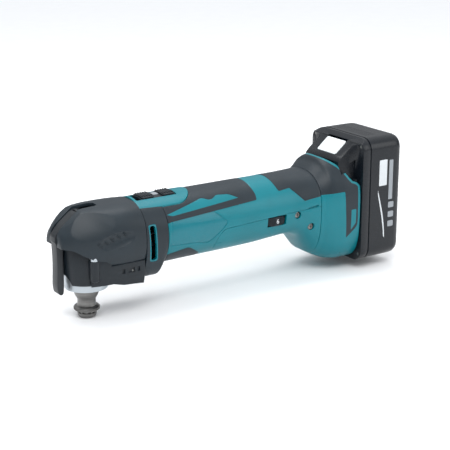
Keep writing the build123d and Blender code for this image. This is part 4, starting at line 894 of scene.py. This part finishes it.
knob_mid = (knob_low[0] + knob_high[0]) / 2
knob_plan = rounded(knob_low[0], -8.8, knob_high[0], 8.8, 1.6)
knob = crown("knob", knob_plan, 0.1, 3.6)
pads = []
for near, far in ((knob_low[0] + 0.8, knob_mid - 4), (knob_mid + 4, knob_high[0] - 0.8)):
    plan = rounded(near, -7.6, far, 7.6, 1.2)
    pads.append(soften(crown("pad", plan, 1.4, 2.0), 0.4, 2))
rib_unit = bead("rib_unit", 13.0, 0.9, 1.2, 0.3)
rib_z = AXIS_Z + RADIUS + 1.0
ribs = [repeat("ribs_front", rib_unit, DARK, 5, (knob_low[0] + 2.2, 0, rib_z), (2.3, 0, 0)),
        repeat("ribs_rear", bead("rib_unit", 13.0, 0.9, 1.2, 0.3), DARK, 5, (knob_mid + 5.4, 0, rib_z),
               (2.3, 0, 0))]
soften(knob, 0.4, 2)
slide = join([knob] + pads + ribs, "thumb_slide")
place_piece(slide, "switch", "dark_plastic", DARK, "slide_switch")
marker_plan = rounded(knob_mid - 2.6, -3.4, knob_mid + 2.6, 3.4, 0.6)
marker = soften(crown("slide_marker", marker_plan, 0.7, 0.8), 0.15, 1)
place_piece(marker, "switch", "label", INK)


# %% [markdown]
# ## The speed dial
# A thumb wheel behind a window in the left flank. Its rim is serrated, and flat lands between carry the
# numbers one to six. The numbers are Blender text turned into mesh and set round the rim.

# %% Dial
dial_radius = (dial_high[0] - dial_low[0]) / 2
dial = turned("dial_wheel", [
    (2.0, dial_low[2]), (dial_radius - 0.9, dial_low[2]), (dial_radius - 0.4, dial_low[2] + 0.5),
    (dial_radius - 0.4, dial_high[2] - 0.5), (dial_radius - 0.9, dial_high[2]), (2.0, dial_high[2]),
], 96, (dial_mid[0], dial_mid[1]))
tooth = [(-0.35, -0.3), (0.35, -0.3), (0.35, 0.3), (-0.35, 0.3)]
serration = soften(prism("serration", tooth, "Z", -3.4, 3.4), 0.15, 1)
teeth = repeat("dial_teeth", serration, DARK, 72, tuple(dial_mid), (0, 0, 0), dial_radius - 0.35, "Z")
bm = bmesh.new()
bm.from_mesh(teeth.data)
lands = []
centre = Vector(dial_mid) * MM
for vertex in bm.verts:
    away = vertex.co - centre
    turn = math.degrees(math.atan2(away.y, away.x)) + 90
    if abs((turn + 25) % 50 - 25) < 9 and -30 < turn < 290:
        lands.append(vertex)
bmesh.ops.delete(bm, geom=lands, context="VERTS")
bm.to_mesh(teeth.data)
bm.free()
wheel = join([dial, teeth], "speed_wheel")
place_piece(wheel, "dial", "dark_plastic", DARK, "speed_dial")


def digit(text, turn):
    """A raised number on the dial's rim, read from outside with the tool level."""
    curve = bpy.data.curves.new("digit", "FONT")
    curve.body, curve.size = text, 5.6 * MM
    curve.align_x, curve.align_y, curve.extrude = "CENTER", "CENTER", 0.12 * MM
    holder = bpy.data.objects.new("digit", curve)
    bpy.context.scene.collection.objects.link(holder)
    bpy.context.view_layer.update()
    mesh = bpy.data.meshes.new_from_object(holder.evaluated_get(bpy.context.evaluated_depsgraph_get()))
    bpy.data.objects.remove(holder)
    place = Matrix.Translation(Vector(dial_mid) * MM) @ Matrix.Rotation(math.radians(turn), 4, "Z")
    place = place @ Matrix.Translation(Vector((0, -(dial_radius - 0.3) * MM, 0)))
    mesh.transform(place @ Matrix.Rotation(math.radians(90), 4, "X"))
    piece = bpy.data.objects.new("digit", mesh)
    bpy.context.scene.collection.objects.link(piece)
    return piece


digits = join([digit(str(6 - i), i * 50) for i in range(6)], "dial_numbers")
place_piece(digits, "dial", "label", PALE)


# %% [markdown]
# ## Tail
# The tail swells to carry the battery. Its mouth is cut on the slant, and a thin coloured rim runs round
# the cut, outside the soft inlay that covers the shoulders and runs down each flank.

# %% Tail mesh
tx, te = TAIL_X, TAIL_END_X
rise, fall = TAIL_TOP_Z - AXIS_Z, AXIS_Z - TAIL_LOW_Z
TAIL_ROWS = [
    (tx, r + 1.2, r + 18.0, r + 0.1, 3.0, 2.3),
    (tx + 3, r + 1.8, r + 20.0, r + 2.6, 3.0, 2.3),
    (tx + 7.5, TAIL_HALF - 3.4, fall - 4.6, rise - 5.0, 3.1, 2.3),
    (tx + 11, TAIL_HALF - 2.4, fall - 3.0, rise - 1.2, 3.2, 2.3),
    (tx + 16, TAIL_HALF - 1.4, fall - 1.2, rise, 3.4, 2.3),
    (tx + 26, TAIL_HALF - 0.2, fall, rise, 3.6, 2.4),
    (te, TAIL_HALF, fall - 0.4, rise, 3.8, 2.5),
]
RIM_X, RIM_Z = tx + 13.6, TAIL_TOP_Z - 0.4
RIM = [(RIM_X - 1.5, RIM_Z + 0.3), (RIM_X + 3.5, RIM_Z - 2.6), (RIM_X + 8, RIM_Z - 6.2),
       (RIM_X + 12.5, RIM_Z - 12.0), (RIM_X + 15.5, RIM_Z - 17.0), (RIM_X + 18.5, RIM_Z - 20.4),
       (te - 3.0, RIM_Z - 22.0), (te - 0.9, RIM_Z - 24.0)]
mouth = RIM + [(te + 0.6, RIM_Z - 27), (te + 1.0, -9), (te + 30, -9), (te + 30, 140), (RIM_X - 4, 140)]
inner_rim = [(px - 1.5, pz - 1.4, 0) for px, pz in RIM[1:]]
shoulder = curve_points([
    (tx - 2, AXIS_Z + 10.5, 0), (tx + 22.5, AXIS_Z + 11.5, 1), (tx + 25, AXIS_Z - 32, 1),
    (te - 2.2, AXIS_Z - 22, 4), *inner_rim[::-1], (RIM_X - 2.6, RIM_Z - 0.6, 0), (RIM_X - 3.0, FAR_UP, 0),
    (tx - 2, FAR_UP, 0),
], 1)
pane = curve_points([(te - 9.6, AXIS_Z - 6), (te - 4.2, AXIS_Z - 6), (te - 4.2, AXIS_Z - 19),
                     (te - 9.6, AXIS_Z - 25)], 1.2)


block_way_x = box_mm("battery_case_front")[0][0] - 0.3


def tail_skin(name, inset=0.0, stretch=0.0, count=56):
    return envelope(name, TAIL_ROWS, inset=inset, count=count, stretch=stretch)


tail = tail_skin("tail")
combine(tail, side_prism(mouth))
grip = copy_of(tail, "tail_shoulder")
combine(tail, tail_skin("tail_hollow", WALL, 1.0))
# The battery's narrow block slides up and out, so both shells are open above it. It is RAIL_INSET narrower
# than the pack on each side, less its play.
RAIL_INSET = 8.2
block_half = box_mm("battery_case_front")[1][1] - RAIL_INSET
block_side = [(block_way_x, AXIS_Z + 16.5), (te + 9, AXIS_Z + 16.5), (te + 9, 140), (block_way_x, 140)]
for shell in (tail, grip):
    combine(shell, prism("block_way", block_side, "Y", -block_half, block_half))
inlay = side_prism(shoulder)
combine(inlay, tail_skin("inlay_core", SKIN, 1.0))
combine(inlay, [prism("pane", pane, "Y", -FAR_SIDE, -24), prism("pane", pane, "Y", 24, FAR_SIDE)])
combine(tail, copy_of(inlay, "inlay_way"))
combine(grip, inlay, "INTERSECT")
soften(tail, 0.35, 2)
soften(grip, 0.3, 2)
tail.name = "tail_shell"
place_piece(tail, "tool", "teal_plastic", TEAL, "tail_housing")
place_piece(grip, "tool", "black_elastomer", RUBBER, "tail_grip")
# The drawn tail is slimmer than the CAD one in places, so the rail plate is cut to what fits inside it.
rails = copy_node("rail_plate", "rails")
combine(rails, tail_skin("tail_room", WALL + 0.1, 12.0), "INTERSECT")
place_piece(soften(rails, 0.2, 1), "tool", "black_plastic", DARK, "rail_plate")


# %% [markdown]
# ## Battery
# The pack is two black mouldings that meet at a lip, with a sloping shoulder in front that carries the
# white release plate. The rear one is a loft of rounded rectangles, which give the lip, the groove beside it
# and the soft back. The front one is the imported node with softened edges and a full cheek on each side.

# %% Case mesh
def round_ring(x, half, low, high, corner, steps=12):
    """A rounded rectangle across the tool."""
    ring = []
    for k, (sy, sz) in enumerate(((1, 1), (-1, 1), (-1, -1), (1, -1))):
        cy, cz = sy * (half - corner), (high - corner) if sz > 0 else (low + corner)
        for i in range(steps + 1):
            a = math.radians(90 * k + 90 * i / steps)
            ring.append((x, cy + corner * math.cos(a), cz + corner * math.sin(a)))
    return ring


def case_ring(x, inset):
    return round_ring(x, CASE_HALF - inset, CASE_LOW_Z + inset, CASE_TOP_Z - inset, PACK_CORNER - inset * 0.6)


rear_rows = [(SPLIT_X, 0.7), (SPLIT_X + 0.9, 0.7), (SPLIT_X + 1.2, 0.0), (SPLIT_X + 2.0, 0.0),
             (SPLIT_X + 12, 0.0), (SPLIT_X + 24, 0.05), (PACK_END_X - 8, 0.15), (PACK_END_X - 5, 0.5),
             (PACK_END_X - 2.6, 1.7), (PACK_END_X - 1.0, 3.6), (PACK_END_X - 0.3, 5.2), (PACK_END_X, 7.0)]
rear_case = loft("pack_rear", [case_ring(*row) for row in rear_rows])
pack_room = [round_ring(px, CASE_HALF - PACK_WALL, CASE_LOW_Z + PACK_WALL, CASE_TOP_Z - PACK_WALL,
                        PACK_CORNER - PACK_WALL) for px in (SPLIT_X - 2, PACK_END_X - 2.6)]
combine(rear_case, loft("pack_hollow", pack_room))
fin = bead("fin_unit", 46, 0.7, 0.7, 0.2)
fins = repeat("top_fins", fin, PACK, 5, (SPLIT_X + 7, 0, CASE_TOP_Z - 0.25), (2.4, 0, 0))
place_piece(join([rear_case, fins], "pack_shell"), "battery", "battery_plastic", PACK, "battery_case_rear")

# %% Front moulding
block_x = box_mm("battery_case_front")[0][0]
SHOULDER_RISE = 15.6
SHOULDER_FOOT_Z = CASE_TOP_Z - 20
slope = SHOULDER_RISE / (PACK_X + 1 - block_x)
front_case = soften(copy_node("battery_case_front", "front_case"), 0.6, 2, 40)
cheeks = []
for side in (-1, 1):
    rows = [(block_x + 7, 22.4), (block_x + 12, 23.6), (block_x + 16, 26.0), (PACK_X + 1, 30.0)]
    rings = []
    for px, far in rows:
        peak = SHOULDER_FOOT_Z + slope * (px - block_x)
        section = [(12, -9), (20, -9), (far, -14), (far + 0.3, -4), (far - 1.2, 0.25), (15.5, 0.25), (12, -2)]
        rings.append([(px, side * across, peak + up) for across, up in section])
    cheeks.append(soften(loft("cheek", rings), 0.6, 2))
place_piece(join([front_case] + cheeks, "pack_front_shell"), "battery", "battery_plastic", PACK,
            "battery_case_front")

# %% Release plate
plate = bpy.data.objects.new("plate", bpy.data.meshes.new("plate"))
bpy.context.scene.collection.objects.link(plate)
bm = bmesh.new()
corners = rounded(-8.2, -13.2, 8.2, 13.2, 1.6)
flat = bm.faces.new([bm.verts.new((u * MM, v * MM, 0)) for u, v in corners])
raised = bmesh.ops.extrude_face_region(bm, geom=[flat])
lowered = [v for v in raised["geom"] if isinstance(v, bmesh.types.BMVert)]
bmesh.ops.translate(bm, vec=(0, 0, -2.0 * MM), verts=lowered)
lean = math.atan(slope)
seat_x = block_x + 11.2
seat_z = SHOULDER_FOOT_Z + slope * (seat_x - block_x)
place = Matrix.Translation(Vector((seat_x - 0.5, 0, seat_z + 0.7)) * MM) @ Matrix.Rotation(-lean, 4, "Y")
bmesh.ops.transform(bm, matrix=place, verts=bm.verts)
bm.to_mesh(plate.data)
bm.free()
tidy(plate)
soften(plate, 0.5, 3)
plate.name = "release_plate"
place_piece(plate, "release_button", "button_plastic", WHITE, "battery_button")


# %% [markdown]
# ## Side graphics
# The pack's flanks carry plain generic shapes only: a pale block, a grey stripe, a swoosh of two arcs and
# three small bars.

# %% Label shapes
def sticker(name, outline, side, height=0.12):
    y = side * CASE_HALF
    return prism(name, outline, "Y", *sorted((y - side * 0.2, y + side * height)))


lx, lz = SPLIT_X, (CASE_LOW_Z + CASE_TOP_Z) / 2
pale_shapes, grey_shapes = [], []
for side in (-1, 1):
    pale_shapes.append(sticker("pale_block", rounded(lx + 11, lz + 12, lx + 20, lz + 36, 0.8), side))
    grey_shapes.append(sticker("grey_stripe", rounded(lx + 22.5, lz - 2, lx + 27, lz + 35, 0.8), side))
    arc = [(lx + 10 + 9 * math.sin(a / 12 * 1.5), lz + 8 - 46 * (a / 12)) for a in range(13)]
    back = [(lx + 9.2 + (6.6 + 2.0 * k / 12) * math.sin(k / 12 * 1.5), lz + 8 - 44 * (k / 12))
            for k in range(12, 0, -1)]
    pale_shapes.append(sticker("swoosh", arc + back, side))
    for k in range(3):
        low = lz - 10 - 9 * k
        grey_shapes.append(sticker("bar", rounded(lx + 22.5, low, lx + 29, low + 5.5, 1.2), side))
place_piece(join(pale_shapes, "pack_marks_pale"), "battery", "label", PALE, "battery_labels")
place_piece(join(grey_shapes, "pack_marks_grey"), "battery", "label", INK)


# %% [markdown]
# ## Clamp lever
# A black lever lies in the hood's slot and hangs down in front of the head. It is a prism across the tool
# with generously rounded edges, and a step where the thumb gets under it.

# %% Lever
lever_low, lever_high = box_mm("clamp_lever")
lf = lever_low[0] + 1.6
tz = TOP_Z
lever_outline = curve_points([
    (-2.0, tz - 2.9, 1.5), (-7, tz - 2.0, 2), (lf + 17, tz - 3.6, 4), (lf + 5.2, tz - 12.8, 4),
    (lf - 0.9, tz - 20.5, 2),
    (lf - 1.5, tz - 25.6, 0.5), (lf - 0.2, tz - 26.6, 0.5), (lf + 0.5, 46, 20), (lf - 0.5, 25, 6),
    (lf + 0.6, lever_low[2] + 1.4, 1.5), (lf + 3.0, lever_low[2], 1.5), (lf + 5.0, lever_low[2] + 1.5, 1),
    (lf + 5.6, lever_low[2] + 7, 2), (lf + 5.8, tz - 24, 3), (lf + 7, tz - 17.5, 3), (lf + 11, tz - 13.2, 3),
    (lf + 18, tz - 10.9, 2), (-7, tz - 9.6, 1), (-3.5, tz - 10.8, 1),
], 1, 6)
lever_half = lever_high[1]
lever = prism("lever", lever_outline, "Y", -lever_half, lever_half)
hollow_way = [(-2.5, tz - 2.0), (-9.2, tz - 2.6), (-9.2, tz - 14), (-2.5, tz - 14)]
combine(lever, prism("cam_way", hollow_way, "Y", -lever_half + 1.15, lever_half - 1.15))
soften(lever, 0.9, 3, 50)
lever.name = "lever_arm"
place_piece(lever, "lever", "lever_plastic", LEVER, "clamp_lever")


# %% [markdown]
# ## Spindle and blade clamp
# Turned steel: a cone under the collar, a waist, and the knurled disc that a blade lies against. The knurl
# and the twelve drive teeth are rings of small copies.

# %% Spindle
seat_radius = box_mm("spindle")[1][0]
neck = turned("neck", [
    (3.6, -2.0), (6.9, -2.0), (7.0, 0.0), (seat_radius - 0.9, 0.0), (seat_radius - 0.35, 0.5),
    (seat_radius - 0.35, 2.6), (seat_radius - 1.3, 3.6), (8.0, 4.0), (7.7, 4.8), (7.6, 9.2), (8.3, 10.8),
    (9.7, 13.0), (10.4, 15.4), (10.5, 19.0),
    (6.0, 19.3), (6.0, 71.4), (3.6, 71.5),
], 96)
knurl_unit = soften(prism("knurl_unit", [(-0.5, -0.32), (0.4, 0), (-0.5, 0.32)], "Z", -1.0, 1.0), 0.08, 1)
knurl = repeat("knurl", knurl_unit, BLACKED, 64, (0, 0, 1.55), (0, 0, 0), seat_radius - 0.4, "Z")
drive_tooth = [(-1.0, -0.95), (0.6, -0.8), (0.6, 0.8), (-1.0, 0.95)]
tooth_unit = soften(prism("tooth_unit", drive_tooth, "Z", -1.0, 1.0), 0.2, 2)
drive = repeat("drive_teeth", tooth_unit, BLACKED, 12, (0, 0, -1.0), (0, 0, 0), 7.8, "Z")
place_piece(join([neck, knurl, drive], "spindle_nose"), "spindle", "dark_steel", BLACKED, "spindle")
bolt_low = box_mm("holder_bolt")[0][2]
bolt = turned("bolt_cap", [
    (2.6, bolt_low + 2.2), (2.9, bolt_low + 0.1), (5.4, bolt_low), (6.8, bolt_low + 0.5),
    (7.7, bolt_low + 1.6), (8.0, bolt_low + 2.8), (8.0, -2.5), (7.6, -2.08), (3.5, -2.08), (3.5, 14.0),
    (3.0, 14.4), (3.0, 15.6), (3.5, 16.0),
    (3.5, 17.0), (3.0, 17.4), (3.0, 18.4), (3.5, 18.8), (3.5, 25.2), (2.9, 26.0),
], 96)
place_piece(bolt, "holder_bolt", "dark_steel", BLACKED, "holder_bolt")


# %% [markdown]
# ## Screws
# Cross-head screws in their wells. One head is modelled with its recess and a Geometry Nodes row places
# the pair on each flank.

# %% Screw heads
def cross_head(name, side):
    head = turned(name, [(0.01, 0.0), (2.2, 0.0), (2.8, -0.35), (3.0, -0.9), (3.0, -1.8)], 40)
    for turn in (0, 90):
        blade = prism("slot", [(-1.7, -0.34), (1.7, -0.34), (1.7, 0.34), (-1.7, 0.34)], "Z", -1.1, 0.4)
        blade.data.transform(Matrix.Rotation(math.radians(turn), 4, "Z"))
        combine(head, blade)
    head.data.transform(Matrix.Rotation(math.radians(90 * -side), 4, "X"))
    return tidy(head, 30)


heads = []
for side in (-1, 1):
    (ax, az), (bx, bz) = SCREWS
    heads.append(repeat("screw_pair", cross_head("head", side), BLACKED, 2, (ax, side * 27.6, az),
                        (bx - ax, 0, bz - az)))
screws = join(heads, "cover_screws")
place_piece(screws, "tool", "dark_steel", BLACKED, "body_screws")


# %% [markdown]
# ## Stage, light and camera
# A pale floor, a broad soft key from the upper left, a top light, a fill and a sky that is brightest
# overhead. The lens is long, so that the handle hardly tapers.

# %% Floor and lights
floor_z = min(cad_low[2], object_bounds()[0][2]) - 0.0002
reach = 20000
floor = new_piece("floor", [(-reach, -reach, floor_z / MM), (reach, -reach, floor_z / MM),
                            (reach, reach, floor_z / MM), (-reach, reach, floor_z / MM)], [(0, 1, 2, 3)])
floor.data.materials.append(finish("pale_floor", (0.90, 0.905, 0.91), 0.6, grain=0.02, grain_size=2.0,
                                   shift=0.01))
floor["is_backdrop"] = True
world = bpy.data.worlds.new("studio")
bpy.context.scene.world = world
world.use_nodes = True
sky = world.node_tree
direction, height, glow = (sky.nodes.new("ShaderNodeTexCoord"), sky.nodes.new("ShaderNodeSeparateXYZ"),
                           sky.nodes.new("ShaderNodeMapRange"))
sky.links.new(direction.outputs["Generated"], height.inputs["Vector"])
sky.links.new(height.outputs["Z"], glow.inputs["Value"])
glow.inputs["To Min"].default_value, glow.inputs["To Max"].default_value = 0.22, 1.5
sky.links.new(glow.outputs["Result"], sky.nodes["Background"].inputs["Strength"])
sky.nodes["Background"].inputs["Color"].default_value = (0.95, 0.97, 1.0, 1)


def softbox(name, place, target, size, power):
    light = bpy.data.lights.new(name, "AREA")
    light.shape, light.size, light.size_y = "RECTANGLE", size[0], size[1]
    light.energy = power
    lamp = bpy.data.objects.new(name, light)
    lamp.location = place
    lamp.rotation_euler = (Vector(target) - Vector(place)).to_track_quat("-Z", "Y").to_euler()
    bpy.context.scene.collection.objects.link(lamp)


softbox("key", (-0.35, -0.75, 1.05), (0.12, 0, 0.06), (0.7, 0.5), 9)
softbox("top", (0.15, 0.25, 1.1), (0.12, 0, 0.06), (1.0, 0.4), 6)
softbox("fill", (0.9, -0.8, 0.45), (0.15, 0, 0.06), (0.6, 0.6), 2.5)

# %% Camera
TURN, LIFT, REACH = math.radians(33.8), math.radians(16.8), 1.143
aim = Vector((0.138, 0.0, 0.0492))
forward = Vector((math.sin(TURN) * math.cos(LIFT), math.cos(TURN) * math.cos(LIFT), -math.sin(LIFT)))
lens = bpy.data.cameras.new("camera")
lens.lens, lens.sensor_width = 104.4, 36.0
lens.clip_start, lens.clip_end = 0.05, 20
camera = bpy.data.objects.new("camera", lens)
camera.location = aim - forward * REACH
camera.rotation_euler = forward.to_track_quat("-Z", "Y").to_euler()
bpy.context.scene.collection.objects.link(camera)
bpy.context.scene.camera = camera
bpy.context.scene.view_settings.view_transform = "Standard"

# %% Final bounds
low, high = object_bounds()
print("visual box", [round(float(c), 4) for c in low], [round(float(c), 4) for c in high])
